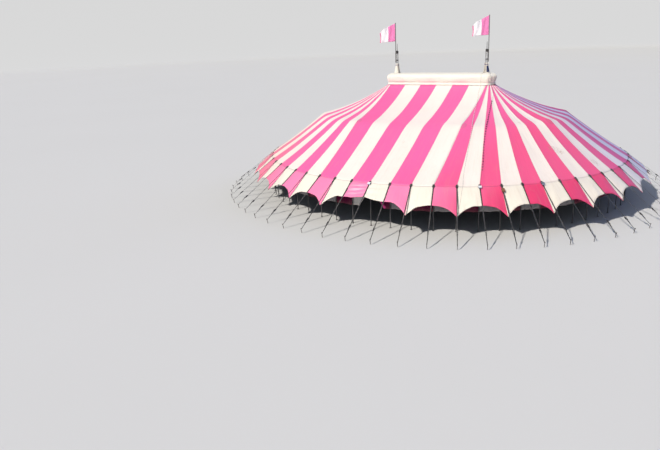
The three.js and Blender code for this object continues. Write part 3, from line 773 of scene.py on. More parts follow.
def wall_canvas():
    """Side wall cloth in other colours than the gores above: white under pink and pink under white, both in
    painted shade, as grey and dark magenta, with painted light beside the entrance, a border at each panel,
    and dust that rises from the hem."""
    r = Recipe("wall_canvas_finish")
    cloth = r.weave_place()
    place = r.object_place()
    seam, down = r.axis(cloth, 0), r.axis(cloth, 1)
    under_pink = r.math("FRACT", seam * 0.5) < 0.5
    tone = r.noise(place, 1.4, 3)
    # Painted shade: white cloth greyed and pink cloth darkened to magenta
    colour = r.tint(under_pink, r.tint(tone, *SHADED_WALL_PINKS), r.tint(tone, *SHADED_WALL_WHITES))
    # Painted light: a panel left of the entrance and a strip along the right flap's hem
    colour = r.tint(r.mark("lit"), colour, LIT_GREY)
    colour = r.tint(r.mark("turned_back"), colour, LIT_PINK)
    dust = r.step(down + 0.5 * r.noise(place, 3.0), 1.5, 1.9) * 0.12
    colour = r.tint(dust, colour, DUST)
    border = 1 - r.step(r.mark("seam_gap"), 0.03, 0.045)
    colour = r.tint(border * 0.35, colour, GRIME)
    relief = r.bump(r.noise(r.scaled(place, (4.0, 4.0, 0.8)), 1.0, 3), 0.03, 0.4)
    relief = r.bump(r.noise(place, 350.0, 1), 0.001, 0.3, relief)
    return r.finish(colour, 0.75 + tone * 0.15, relief, Specular_IOR_Level=0.08)


def crown_canvas():
    """Padded cream canvas: slanting creases, brown water stains, soot, and weave. The sleeves are soiled
    on one side, and one has a navy patch."""
    r = Recipe("crown_canvas_finish")
    place = r.object_place()
    tone = r.noise(place, 1.1, 3)
    colour = r.tint(tone, *CROWN_CREAMS)
    stains = r.step(r.noise(r.scaled(place, (2.4, 2.4, 1.0)), 1.0, 5, 0.7), 0.6, 0.78)
    colour = r.tint(stains * 0.4, colour, WATER_STAIN)
    soot = r.step(r.noise(place, 4.0, 4, 0.7), 0.55, 0.85)
    colour = r.tint(soot * 0.18 + r.mark("soil") * 0.75, colour, GRIME)
    colour = r.tint(r.mark("navy"), colour, NAVY)
    turn = {"Vector": place, "Rotation": (0.0, 0.7, 0.0), "Scale": (3.2, 3.2, 1.1)}
    slant = r.node("ShaderNodeMapping", None, turn)
    relief = r.bump(r.noise(slant, 1.0, 4, 0.6, 0.6), 0.05, 0.6)
    relief = r.bump(r.noise(place, 380.0, 1), 0.0012, 0.35, relief)
    return r.finish(colour, 0.55 + stains * 0.15, relief, Sheen_Weight=0.12)


def flag_cloth():
    """Thin flag cloth: pink at the hoist, then white, then a dark pink fly edge, with fine ribs, a hem
    and soft slanting wrinkles."""
    r = Recipe("flag_cloth_finish")
    cloth = r.weave_place()
    place = r.object_place()
    fly, fall = r.axis(cloth, 0), r.axis(cloth, 1)
    white = r.step(fly, 0.455, 0.465)
    edge = r.step(fly, 0.93, 0.94)
    tone = r.noise(place, 3.0, 3)
    colour = r.tint(white, r.tint(tone, *FLAG_PINKS), r.tint(tone, *FLAG_WHITES))
    colour = r.tint(edge, colour, FLAG_EDGE)
    hem = (fall < 0.02) + (fall > 0.98) + (fly < 0.03)
    colour = r.tint(hem * 0.25, colour, GRIME)
    ribs = r.node("ShaderNodeTexWave", None, {"Vector": cloth, "Scale": 60.0, "Distortion": 0.4})
    slant = r.node("ShaderNodeMapping", None, {"Vector": cloth, "Rotation": (0.0, 0.0, 0.8)})
    relief = r.bump(r.noise(r.scaled(slant, (6.0, 1.5, 1.0)), 1.0, 3), 0.02, 0.4)
    relief = r.bump(ribs, 0.0006, 0.3, relief)
    return r.finish(colour, 0.65 + tone * 0.1, relief, Sheen_Weight=0.25)


def galvanised(name, light, dark, rust_share):
    """Zinc-coated steel: crystal spangle, dull blotches, and rust where it is knocked."""
    r = Recipe(name)
    place = r.object_place()
    spangle = r.cells(place, 55.0)
    dull = r.noise(place, 4.0, 4, 0.6)
    colour = r.tint(spangle * 0.5 + dull * 0.5, light, dark)
    rust = r.step(r.noise(place, 13.0, 5, 0.7), 0.62, 0.72) * rust_share
    colour = r.tint(rust, colour, RUST)
    relief = r.bump(dull + rust, 0.0015, 0.4)
    return r.finish(colour, 0.38 + dull * 0.22 + rust * 0.3, relief, Metallic=1 - rust)


def webbing():
    """Black polyester webbing: fine ribs and patches of grey dust."""
    r = Recipe("webbing_finish")
    place = r.object_place()
    dust = r.step(r.noise(place, 7.0, 4, 0.6), 0.42, 0.75)
    colour = r.tint(dust, WEBBING_BLACK, GREY_DUST)
    relief = r.bump(r.noise(place, 260.0, 1), 0.0012, 0.5)
    return r.finish(colour, 0.6 + dust * 0.2, relief, Sheen_Weight=0.2)


def rope(name, light, dark):
    """Laid rope: slanting strands."""
    r = Recipe(name)
    place = r.object_place()
    slant = r.node("ShaderNodeMapping", None, {"Vector": place, "Rotation": (0.6, 0.5, 0.4)})
    strands = r.node("ShaderNodeTexWave", None, {"Vector": slant, "Scale": 22.0, "Distortion": 1.0})
    colour = r.tint(strands, dark, light)
    return r.finish(colour, 0.8 - strands * 0.1, r.bump(strands, 0.004, 0.5))


def painted(name, light, dark, roughness):
    """Painted or moulded housing: slight mottling, patches of dust and fine orange peel."""
    r = Recipe(name)
    place = r.object_place()
    tone = r.noise(place, 14.0, 4, 0.6)
    colour = r.tint(tone, light, dark)
    dust = r.step(r.noise(place, 30.0, 3), 0.55, 0.75)
    colour = r.tint(dust * 0.25, colour, DUST)
    relief = r.bump(r.noise(place, 500.0, 1), 0.0004, 0.3)
    return r.finish(colour, roughness + dust * 0.2, relief)


def lamp_glass():
    """The lamp's front: bluish glass over a bright reflector, with many small emitters."""
    r = Recipe("lamp_glass_finish")
    place = r.object_place()
    cells = r.cells(place, 40.0)
    colour = r.tint(r.step(cells, 0.2, 0.5), LENS_PALE, LENS_BLUE)
    return r.finish(colour, 0.12 + cells * 0.1, Coat_Weight=0.6, Specular_IOR_Level=0.7)


finishes = {
    "roof": striped_canvas("roof_canvas", ROOF_PINKS, ROOF_REDDENS, ROOF_WHITE, soil=1.0),
    "valance": striped_canvas("valance_canvas", VALANCE_PINKS, VALANCE_REDDENS, VALANCE_WHITE, 1.2, 1.2),
    "lining": lining(),
    "wall": wall_canvas(),
    "crown": crown_canvas(),
    "flag": flag_cloth(),
    "steel": galvanised("galvanised_finish", (0.5, 0.51, 0.52), (0.3, 0.31, 0.33), 0.25),
    "mast": galvanised("mast_finish", (0.2, 0.19, 0.18), (0.1, 0.095, 0.09), 0.5),
    "pole": painted("side_pole_paint", (0.09, 0.09, 0.095), (0.045, 0.045, 0.05), 0.5),
    "stake": galvanised("stake_finish", (0.2, 0.18, 0.17), (0.1, 0.085, 0.08), 0.85),
    "fitting": galvanised("fitting_finish", (0.16, 0.16, 0.17), (0.07, 0.07, 0.075), 0.4),
    "webbing": webbing(),
    "cord": rope("tie_rope_finish", (0.16, 0.2, 0.42), (0.05, 0.06, 0.16)),
    "lamp": painted("lamp_paint", (0.8, 0.82, 0.86), (0.6, 0.63, 0.7), 0.35),
    # Painted shade: the lamp paint darkened to navy and grey-teal for the furthest right lamp
    "lamp_in_painted_shade": painted("shade_painted_lamp_paint", (0.05, 0.07, 0.16), (0.2, 0.26, 0.28), 0.35),
    "glass": lamp_glass(),
    "bulb_dark": painted("bulb_dark_finish", (0.05, 0.02, 0.05), (0.02, 0.01, 0.025), 0.2),
    "bulb_pale": painted("bulb_pale_finish", (0.85, 0.9, 0.88), (0.6, 0.72, 0.66), 0.2),
    "box": painted("box_plastic_finish", (0.24, 0.12, 0.06), (0.13, 0.065, 0.035), 0.55),
}


# Pieces


def make(name, pile, finish_names, stands_for=(), marks=None, cloth=None):
    """Makes one mesh of a pile's shapes, with its finishes, its numbers on points and its cloth map,
    smooth but for sharp edges, and rides it on the tent."""
    points = np.concatenate(pile.points)
    mesh = bpy.data.meshes.new(name)
    mesh.from_pydata(points.tolist(), [], [face for group in pile.faces for face in group.tolist()])
    for finish_name in finish_names:
        mesh.materials.append(finishes[finish_name])
    mesh.polygons.foreach_set("material_index", np.concatenate(pile.paints).astype(np.int32))
    for key, values in (marks or {}).items():
        attribute = mesh.attributes.new(key, "FLOAT", "POINT")
        attribute.data.foreach_set("value", np.asarray(values, np.float32).ravel())
    if cloth is not None:
        corners = np.empty(len(mesh.loops), np.int32)
        mesh.loops.foreach_get("vertex_index", corners)
        layer = mesh.uv_layers.new(name="cloth")
        layer.data.foreach_set("uv", np.asarray(cloth, np.float32).reshape(-1, 2)[corners].ravel())
    mesh.validate()
    mesh.shade_smooth()
    mesh.set_sharp_from_angle(angle=SHARP_ANGLE)
    piece = bpy.data.objects.new(name, mesh)
    bpy.context.scene.collection.objects.link(piece)
    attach(piece, "root")
    if stands_for:
        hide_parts(*stands_for)
    return piece


def thicken(piece, thickness, inner=0):
    """Gives a surface its cloth thickness, inwards; the inner face may take a later finish."""
    shell = piece.modifiers.new("thickness", "SOLIDIFY")
    shell.thickness = thickness
    shell.offset = -1
    shell.material_offset = inner
    return piece


def bevel(piece, width):
    """Rounds the edges of blocks and plates."""
    edge = piece.modifiers.new("edges", "BEVEL")
    edge.width = width
    edge.segments = 2
    edge.limit_method = "ANGLE"
    return piece


def seam_steps(first, last, a_gore):
    """Seam numbers of a section's columns."""
    return np.linspace(first, last, (last - first) * a_gore + 1)


def length_down(points):
    """Metres down each column of a grid of points."""
    steps = np.linalg.norm(np.diff(points, axis=0), axis=-1)
    return np.concatenate([np.zeros((1, points.shape[1])), np.cumsum(steps, 0)])


def gap_to_seam(points, seam):
    """Metres from each point of a grid to the nearest seam, by the width of its gore there."""
    width = np.linalg.norm(np.gradient(points, axis=1), axis=-1) / np.gradient(seam)
    return np.abs(seam - np.round(seam)) * width


def cloth_piece(name, points, seam, finish_names, stands_for, lengths=None, marks=None):
    """Makes a sheet from a grid of points, rows down the cloth and columns along the seams."""
    down = length_down(points) if lengths is None else lengths
    cloth = join(np.broadcast_to(seam, down.shape), down)
    own = {"seam_gap": gap_to_seam(points, seam), **(marks or {})}
    pile = Pile().add(points, quads(*points.shape[:2]))
    return make(name, pile, finish_names, stands_for, own, cloth)


def stain_share(x, y):
    """Share of brown stain: for each stain, exp(-(distance / size) squared)."""
    return sum(np.exp(-((x - at_x) ** 2 + (y - at_y) ** 2) / size**2) for (at_x, at_y), size in STAINS)


def painted_sheen_share(seam, drop):
    """Share of painted sheen where the valance is gathered beside the entrance: pale slanting streaks within
    a bell."""
    gathered = np.exp(-(((seam - ENTRANCE_SEAM + 0.5) / 0.4) ** 2)) * np.sin(math.pi * drop)
    return 0.5 * gathered * np.clip(np.sin(24 * drop + 3 * seam), 0, 1)


def make_roof():
    """Six roof sheets between the crown and the eave."""
    above = np.linspace(0, KINK_STATION, ROOF_ROWS_ABOVE)
    below = np.linspace(KINK_STATION, 1, ROOF_ROWS_BELOW)[1:]
    station = np.concatenate([above, below])[:, None]
    for section, (first, last) in SECTIONS.items():
        seam = seam_steps(first, last, ROOF_COLUMNS_A_GORE)
        points = roof(seam, station)
        down = length_down(points)
        x, y = points[..., 0], points[..., 1]
        marks = {"eave_gap": down[-1] - down, "tip_gap": tip_offset(x, y)[0], "stain": stain_share(x, y)}
        node = f"roof_{section}"
        names = ["roof", "lining"]
        piece = cloth_piece(f"canvas_{node}", points, seam, names, [node], down, marks)
        thicken(piece, CANVAS, 1)


def make_valance():
    """Six valance sheets outside the eave, each with a roped hem along its scalloped edge."""
    drop = np.linspace(0, 1, VALANCE_ROWS)[:, None]
    for section, (first, last) in SECTIONS.items():
        seam = seam_steps(first, last, VALANCE_COLUMNS_A_GORE)
        points = valance(seam, drop)
        down = length_down(points)
        far = np.full(down.shape, NO_MARK_NEAR)
        marks = {"eave_gap": down, "tip_gap": far, "rubbed": painted_sheen_share(seam, drop)}
        node = f"valance_{section}"
        names = ["valance", "lining"]
        place = down + VALANCE_START
        piece = cloth_piece(f"canvas_{node}", points, seam, names, [node], place, marks)
        thicken(piece, CANVAS, 1)
        hem = make_hem(section, points[-1], seam)


def make_hem(section, edge, seam):
    """The rope sewn into the valance's edge."""
    sides = 6
    points, faces = tube(edge - np.array([0, 0, 0.004]), HEM_ROPE_RADIUS, sides)
    cloth = np.repeat(join(seam, np.full(len(seam), HEM_ROPE_PLACE)), sides, axis=0)
    marks = {key: np.full(len(cloth), NO_MARK_NEAR) for key in ("seam_gap", "eave_gap", "tip_gap")}
    pile = Pile().add(points, faces)
    return make(f"valance_hem_{section}", pile, ["valance"], (), marks, cloth)


def make_walls():
    """Seven side wall bands, hung inside the side poles. Left of the entrance one panel is painted as lit, a
    paler grey, and along the right flap's hem a strip is painted as lit, in bright pink."""
    drop = np.linspace(0, 1, WALL_ROWS)[:, None]
    for section, (first, last, roof_section) in WALLS.items():
        seam = seam_steps(first, last, WALL_COLUMNS_A_GORE)
        points = side_wall(seam, drop)
        node = f"side_wall_{section}"
        lit = (seam > ENTRANCE_SEAM - 1) & (section == "front_left")
        flap = (seam < ENTRANCE_SEAM + FLAP_GORES + 0.1) & (section == "front_right")
        marks = {"lit": np.broadcast_to(lit, points.shape[:2]), "turned_back": flap & (drop > 0.85)}
        names = ["wall", "lining"]
        piece = cloth_piece(f"cloth_{node}", points, seam, names, [node], None, marks)
        thicken(piece, WALL_CLOTH, 1)


def guy_frames(seam):
    """Heads and ties of guys, and the axes along, across and above each one."""
    head = beside(seam, np.full(seam.shape, -SIDE_POLE_INSET), GUY_TOP)
    tie = beside(seam, np.full(seam.shape, TIE_OUTSET), TIE_HEIGHT)
    along = unit(tie - head)
    across = unit(np.cross(np.array([0.0, 0, 1]), along))
    return head, tie, np.stack([along, across, np.cross(along, across)], 1)


def upright_frames(seam):
    """Axes outward, along the eave and up at each seam."""
    outward = between(OUTWARD, seam)
    out = join(outward[:, 0], outward[:, 1], np.zeros(len(outward)))
    up = np.broadcast_to(np.array([0.0, 0, 1]), out.shape)
    return np.stack([out, np.cross(up, out), up], 1)


def strap_shape(length):
    """One strap from its head to its tie, along x: webbing over and under the guy, a padded patch round
    the spigot, a keeper and the tail."""
    half, near, far = 0.032, 0.006, 0.0095
    head = -0.04
    ratchet = length - RATCHET_FROM_TIE
    pile = Pile()
    pile.add(*block((head, -half, near), (ratchet, half, far)))
    pile.add(*block((head, -half, -far), (0.32, half, -near)))
    pile.add(*block((head - 0.004, -half, -far), (head, half, far)))
    pile.add(*block((-0.055, -0.06, far), (0.17, 0.06, 0.02)))
    pile.add(*block((0.3, -0.038, -0.0115), (0.36, 0.038, 0.0115)), 1)
    pile.add(*block((ratchet + 0.28, -0.024, -0.002), (length + 0.02, 0.024, 0.002)))
    pile.add(*block((ratchet + 0.1, -0.02, 0.03), (ratchet + 0.5, 0.02, 0.033)))
    return pile


def ratchet_shape():
    """A ratchet along x: two side plates, a handle bent up, wheels, a spool and two cross
    bars."""
    spool_x, spool_z = 0.06, 0.012
    pile = Pile()

    def cross_bar(x, z, reach, radius, sides):
        """Adds a round bar across the ratchet."""
        pile.add(*rods([[x, -reach, z]], [[x, reach, z]], radius, sides))

    for side in (-1, 1):
        y = 0.033 * side
        pile.add(*block((0.0, y - 0.002, -0.02), (0.2, y + 0.002, 0.024)))
        pile.add(*block((0.04, y * 1.2 - 0.002, 0.01), (0.28, y * 1.2 + 0.002, 0.045)))
        pile.add(*rods([[spool_x, y - 0.004, spool_z]], [[spool_x, y + 0.004, spool_z]], 0.034, 14))
    cross_bar(spool_x, spool_z, 0.045, 0.014, 12)
    cross_bar(spool_x, spool_z, 0.03, 0.027, 14)
    cross_bar(0.27, 0.03, 0.045, 0.011, 10)
    cross_bar(0.19, 0.0, 0.04, 0.009, 10)
    return pile


def stake_shape():
    """A driven steel stake along z: a round bar with a mushroomed head and a collar."""
    top = math.hypot(STAKE_HEIGHT, STAKE_TOP_OUTSET - STAKE_FOOT_OUTSET)
    bar, collar = 0.0165, 0.0205
    profile = [
        (0.012, top), (0.024, top - 0.004), (0.027, top - 0.014), (0.022, top - 0.028), (bar, top - 0.045),
        (bar, 0.2), (collar, 0.196), (collar, 0.17), (bar, 0.166), (bar, 0.0),
    ]
    return Pile().add(*turned(profile, 14))


def pole_shape():
    """A side pole along z: a tube with a foot plate, a collar with a pin, a head plate and the spigot
    above."""
    top = EAVE_HEIGHT - 0.005
    tube_radius, collar, spigot, head_plate, foot_plate = SIDE_POLE_RADIUS, 0.033, 0.0085, 0.045, 0.075
    profile = [
        (spigot, SPIGOT_TOP), (spigot, top), (head_plate, top), (head_plate, top - 0.008),
        (tube_radius, top - 0.008), (tube_radius, 1.42), (collar, 1.415), (collar, 1.3),
        (tube_radius, 1.295), (tube_radius, 0.03), (0.034, 0.026), (0.034, 0.008),
        (foot_plate, 0.006), (foot_plate, 0.0),
    ]
    pile = Pile().add(*turned(profile, 16))
    pile.add(*rods([[-0.04, 0, 1.35]], [[0.045, 0, 1.35]], 0.006, 8))
    return pile


def stake_frames(seam, sideways):
    """Feet of the stakes, and their axes: out from the tent, along the eave and up the leaning bar."""
    foot = beside(seam, np.full(seam.shape, STAKE_FOOT_OUTSET), 0.0)
    top = beside(seam, np.full(seam.shape, STAKE_TOP_OUTSET), STAKE_HEIGHT)
    lean = unit(top - foot)
    return foot, np.stack([unit(np.cross(sideways, lean)), sideways, lean], 1)


def eave_cable(first, last):
    """The cable between the side poles' heads, one straight length a gore."""
    seam = np.arange(first, last + 1).astype(float)
    line = beside(seam, np.full(seam.shape, -SIDE_POLE_INSET), CABLE_HEIGHT)
    return Pile().add(*rods(line[:-1], line[1:], CABLE_RADIUS, 8), paint=1)


def make_guys():
    """Side poles, eave cable, straps, ratchets and stakes, one of each at every seam, in six sections."""
    for section, (first, last) in SECTIONS.items():
        seam = np.arange(first, last).astype(float)
        node = [f"side_poles_guys_{section}"]
        head, tie, axes = guy_frames(seam)
        upright = upright_frames(seam)
        length = float(np.linalg.norm(tie - head, axis=-1).mean())
        straps = strap_shape(length).copies(head, axes)
        make(f"straps_{section}", straps, ["webbing", "fitting"], node)
        ratchets = ratchet_shape().copies(head + axes[:, 0] * (length - RATCHET_FROM_TIE), axes)
        bevel(make(f"ratchets_{section}", ratchets, ["fitting"], node), 0.0015)
        stakes = stake_shape().copies(*stake_frames(seam, upright[:, 1]))
        make(f"stakes_{section}", stakes, ["stake"], node)
        pole_foot = beside(seam, np.full(seam.shape, -SIDE_POLE_INSET), 0.0)
        poles = pole_shape().copies(pole_foot, upright).merge(eave_cable(first, last))
        make(f"side_poles_{section}", poles, ["pole", "fitting"], node)


def crown_ring(seam, share, outset):
    """Points in plan round the crown: from the middle line between the fans' centres, a share of the way
    to the crown's edge, then an outset further."""
    crown, _ = plan(seam)
    centre = join(np.clip(crown[..., 0], -FAN_CENTRE, FAN_CENTRE), np.zeros(crown.shape[:-1]))
    reach = crown - centre
    return centre + reach * share[..., None] + unit(reach) * outset[..., None]


def make_crown():
    """The padded roll round the crown, its flat strip below and its top, which closes along the ridge.
    Its section is a smooth curve through shares of the way out, outsets and heights. The roll is bulged
    between lashings and creased on the slant, within a bell round its middle, and the strip is
    puckered."""
    profile = [
        (1, 0.085, 7.738), (1, 0.06, 7.82), (1, 0.052, 7.9), (1, 0.082, 7.94), (1, 0.118, 8.03),
        (1, 0.14, 8.2), (1, 0.115, 8.34), (1, 0.03, 8.45), (0.85, -0.03, 8.51), (0.65, -0.02, 8.535),
        (0.4, 0, 8.54), (0.2, 0, 8.535), (0.001, 0, 8.54),
    ]
    line = smooth_line(profile, 73)
    seam = np.arange(SEAMS * 8) / 8 - STRAIGHT_GORES
    reach, outset, height = (np.broadcast_arrays(line[:, k, None], seam)[0] for k in range(3))
    share = np.linspace(0, 1, len(line))[:, None]
    roll = np.exp(-(((share - 0.42) / 0.16) ** 2))
    slant = np.sin(2 * math.pi * (1.1 * seam + 2.2 * share))
    slant = slant + 0.6 * np.sin(2 * math.pi * (0.37 * seam - 3 * share))
    puff = roll * (0.012 * slant + 0.016 * hollow(seam / 2) - 0.01)
    strip = np.exp(-(((share - 0.08) / 0.07) ** 2))
    puff = puff + 0.004 * strip * np.sin(2 * math.pi * 2 * seam)
    top = np.clip((share - 0.7) / 0.2, 0, 1) * np.clip((1.0 - share) / 0.05, 0, 1)
    ground = crown_ring(seam, reach, outset + puff)
    lift = 0.4 * puff + 0.012 * top * np.sin(2.1 * ground[..., 0] + 0.6) * np.cos(5 * ground[..., 1])
    points = join(ground[..., 0], ground[..., 1], height + lift)
    pile = Pile().add(points, quads(len(line), len(seam), around=True)[:, ::-1])
    piece = make("crown_roll", pile, ["crown", "lining"], ["crown_cap"])
    weld_doubles(piece, 0.004)
    thicken(piece, CROWN_PADDING, 1)


def weld_doubles(piece, distance):
    """Merges points that lie together, so that seams and poles are closed."""
    mesh = bmesh.new()
    mesh.from_mesh(piece.data)
    bmesh.ops.remove_doubles(mesh, verts=mesh.verts, dist=distance)
    bmesh.ops.recalc_face_normals(mesh, faces=mesh.faces)
    mesh.to_mesh(piece.data)
    mesh.free()


def sleeve_folds(angle, height):
    """Radius of a tied sleeve over its profile's: sine waves of the angle that wind up the mast."""
    up = height / SLEEVE_HEIGHT
    return 1 + 0.07 * np.sin(6 * angle + 2.5 * up) + 0.035 * np.sin(13 * angle - 4 * up)


def make_sleeves():
    """A tied canvas sleeve at each mast's foot: a smooth profile turned round the mast, in folds, with
    two turns of rope. It is soiled on the inner side, and the right one has a navy patch on its outer
    side."""
    stops = [
        (0.112, 0.69), (0.138, 0.68), (0.148, 0.62), (0.134, 0.55), (0.142, 0.48), (0.155, 0.36),
        (0.178, 0.22), (0.2, 0.1), (0.215, 0.02), (0.2, 0.0),
    ]
    profile = smooth_line(stops, 40)
    soiled_from = {"left": 0.1, "right": 2.1}
    tie_radius, tie_level, tie_rope = 0.143, CAP_TOP + 0.545, 0.011
    for side, x in MASTS.items():
        points, faces = turned(profile, 64, sleeve_folds)
        angle = np.arctan2(points[..., 1], points[..., 0])
        soil = np.clip(np.cos(angle + soiled_from[side]), 0, 1) ** 3
        low = (points[..., 2] > 0.05) & (points[..., 2] < 0.5)
        navy = (np.cos(angle + 0.2) > 0.5) & low & (side == "right")
        marks = {"soil": soil, "navy": navy}
        pile = Pile().add(points + np.array([x, 0, CAP_TOP]), faces)
        stands_for = [f"mast_sleeve_{side}"]
        sleeve = make(f"canvas_sleeve_{side}", pile, ["crown"], stands_for, marks)
        turn = np.linspace(0, 4 * math.pi, 73)
        height = tie_level + 0.02 * turn / math.pi
        path = join(x + tie_radius * np.cos(turn), tie_radius * np.sin(turn), height)
        make(f"sleeve_tie_{side}", Pile().add(*tube(path, tie_rope)), ["cord"])


def add_lattice(pile, x):
    """Four chords at the corners of a square, and between them level braces and zigzag ones."""
    chord, half, foot, pitch = 0.008, 0.066, 0.2, 0.25
    corners = np.array([(-half, -half), (half, -half), (half, half), (-half, half)]) + np.array([x, 0])
    low = join(corners[:, 0], corners[:, 1], foot)
    high = join(corners[:, 0], corners[:, 1], KING_POLE_TOP)
    pile.add(*rods(low, high, chord, 8))
    levels = np.arange(foot, KING_POLE_TOP, pitch)[:-1, None]
    following = np.roll(corners, -1, axis=0)
    here = join(corners[None, :, 0], corners[None, :, 1], levels)
    beyond = join(following[None, :, 0], following[None, :, 1], levels)
    zigzag = (np.arange(len(levels)) % 2 == 0)[:, None, None]
    starts = np.where(zigzag, here, beyond)
    ends = np.where(zigzag, beyond, here) + np.array([0, 0, pitch])
    pile.add(*rods(starts.reshape(-1, 3), ends.reshape(-1, 3), 0.0035, 6))
    pile.add(*rods(here.reshape(-1, 3), beyond.reshape(-1, 3), 0.003, 6))


def add_turned(pile, profile, x, sides, paint=0):
    """A profile of radii and heights turned round an upright line at x."""
    points, faces = turned(profile, sides)
    pile.add(points + np.array([x, 0, 0]), faces, paint)


def make_masts():
    """King poles: a square lattice mast with a dark head block, a thin topmast tube, a flag pole lashed
    to the outer side of both, and a foot plate."""
    topmast = [
        (0.0, TOPMAST_TOP), (0.014, TOPMAST_TOP - 0.004), (0.018, TOPMAST_TOP - 0.3),
        (0.022, KING_POLE_TOP + 0.03), (0.0, KING_POLE_TOP),
    ]
    block_radius = 0.098
    head_block = [
        (0.0, KING_POLE_TOP + 0.05), (0.06, KING_POLE_TOP + 0.04), (block_radius, KING_POLE_TOP),
        (block_radius, KING_POLE_TOP - 0.12), (0.0, KING_POLE_TOP - 0.13),
    ]
    foot_plate = [
        (0.0, 0.215), (0.096, 0.21), (0.096, 0.19), (0.05, 0.18), (0.05, 0.045), (0.12, 0.03),
        (0.335, 0.025), (0.35, 0.018), (0.35, 0.0), (0.0, 0.0),
    ]
    for side, x in MASTS.items():
        pile = Pile()
        add_lattice(pile, x)
        add_turned(pile, topmast, x, 20)
        add_turned(pile, head_block, x, 20, paint=1)
        outset = math.copysign(FLAG_POLE_OUTSET, x)
        top = FLAG_POLE_TOPS[side]
        flag_pole = [
            (0.0, top), (0.02, top - 0.008), (0.028, top - 0.03), (0.02, top - 0.055), (0.024, TOPMAST_TOP),
            (0.026, FLAG_POLE_FOOT + 0.01), (0.0, FLAG_POLE_FOOT),
        ]
        add_turned(pile, flag_pole, x + outset, 14)
        turn = np.linspace(0, 6 * math.pi, 91)
        for level in (FLAG_POLE_FOOT + 0.12, KING_POLE_TOP - 0.2):
            around_x = x + outset * 0.26 + 0.113 * np.cos(turn)
            lashing = join(around_x, 0.088 * np.sin(turn), level + 0.006 * turn)
            pile.add(*tube(lashing, 0.01, 6), paint=1)
        add_turned(pile, foot_plate, x, 28)
        make(f"mast_{side}", pile, ["mast", "webbing"], [f"king_pole_{side}"])


def flag_surface(along, fall, pole_top):
    """A flag streaming down the wind from its hoist and falling towards its fly, most of all at its last
    fifth, with slanting sine waves that grow along it."""
    hoist_top = pole_top - 0.04
    top = hoist_top - FLAG_FALL * (0.75 * along + 0.25 * np.clip((along - 0.8) / 0.2, 0, 1))
    bottom = hoist_top - FLAG_DEPTH - 0.06 * along
    height = top + (bottom - top) * fall
    swing = np.minimum(1, 3 * along)
    wave = 0.035 * swing * along * np.sin(2.3 * math.pi * along + 1.6 * fall)
    wave = wave + 0.014 * swing * np.sin(5.2 * math.pi * along - 4.0 * fall)
    across = np.array([WIND[1], -WIND[0], 0])
    reach = (0.032 + FLAG_LENGTH * along - 0.05 * along * np.sin(math.pi * fall))[..., None]
    points = reach * WIND + wave[..., None] * across
    points[..., 2] += height + 0.012 * np.sin(9 * along + 3 * fall) * along
    return points


def make_flags():
    """One flag a mast, its hoist on the flag pole."""
    along, fall = np.meshgrid(np.linspace(0, 1, 49), np.linspace(0, 1, 37))
    cloth = join(along, fall)
    for side, x in MASTS.items():
        hoist = x + math.copysign(FLAG_POLE_OUTSET, x)
        points = flag_surface(along, fall, FLAG_POLE_TOPS[side]) + np.array([hoist, 0, 0])
        pile = Pile().add(points, quads(*points.shape[:2]))
        flag = make(f"flag_cloth_{side}", pile, ["flag"], [f"flag_{side}"], None, cloth)
        thicken(flag, FLAG_CLOTH)


def on_guy(seam, outset):
    """Where a lamp or box sits on a guy: the guy's point at an outset from the eave, and the guy's
    axes."""
    head, tie, axes = guy_frames(np.array([float(seam)]))
    share = (outset + SIDE_POLE_INSET) / (TIE_OUTSET + SIDE_POLE_INSET)
    return head + (tie - head) * share, axes


def lamp_shape():
    """A lamp that shines along x: a housing with fins behind, a glass front in a frame, a yoke and a
    clamp."""
    back, front, frame_front = -0.062, 0.064, 0.078
    glass, fitting = 1, 2
    pile = Pile()
    pile.add(*block((back, -0.093, 0.036), (front, 0.093, 0.1)))
    for y in np.linspace(-0.082, 0.082, 11).tolist():
        pile.add(*block((-0.083, y - 0.003, 0.041), (back, y + 0.003, 0.095)))
    pile.add(*block((front, -0.1, 0.03), (frame_front, 0.1, 0.106)))
    pile.add(*block((frame_front, -0.086, 0.041), (0.082, 0.086, 0.095)), glass)
    for side in (-1, 1):
        y = side * 0.103
        pile.add(*block((-0.018, y - 0.003, 0.012), (0.018, y + 0.003, 0.075)), fitting)
    pile.add(*block((-0.018, -0.106, 0.01), (0.018, 0.106, 0.016)), fitting)
    pile.add(*block((-0.035, -0.032, -0.012), (0.035, 0.032, 0.012)), fitting)
    return pile


def make_lamps():
    """Floodlights seated on the straps. The one furthest right is painted in shade, its housing navy and
    grey-teal.
    """
    for number, seam in enumerate(LAMP_SEAMS, 1):
        placed = lamp_shape().copies(*on_guy(seam, LAMP_OUTSET))
        # Painted shade: the furthest right lamp takes the shaded housing
        names = ["lamp_in_painted_shade" if seam == max(LAMP_SEAMS) else "lamp", "glass", "fitting"]
        lamp = make(f"lamp_{number}", placed, names, [f"floodlight_{number}"])
        bevel(lamp, 0.004)


def make_box():
    """The brown cable box on a strap: a body, an overlapping lid, two latches, feet and a cable gland."""
    origin, axes = on_guy(BOX_SEAM, BOX_OUTSET)
    pile = Pile()
    pile.add(*block((-0.125, -0.085, 0.014), (0.125, 0.085, 0.07)))
    pile.add(*block((-0.13, -0.09, 0.07), (0.13, 0.09, 0.096)))
    for x in (-0.06, 0.06):
        pile.add(*block((x - 0.014, -0.096, 0.05), (x + 0.014, -0.084, 0.084)), 1)
    pile.add(*rods([[-0.15, 0.0, 0.042]], [[-0.12, 0.0, 0.042]], 0.013, 12), paint=1)
    pile.add(*block((-0.1, -0.03, 0.0), (0.1, 0.03, 0.014)), 1)
    box = make("junction_box", pile.copies(origin, axes), ["box", "fitting"], ["cable_box"])
    bevel(box, 0.006)


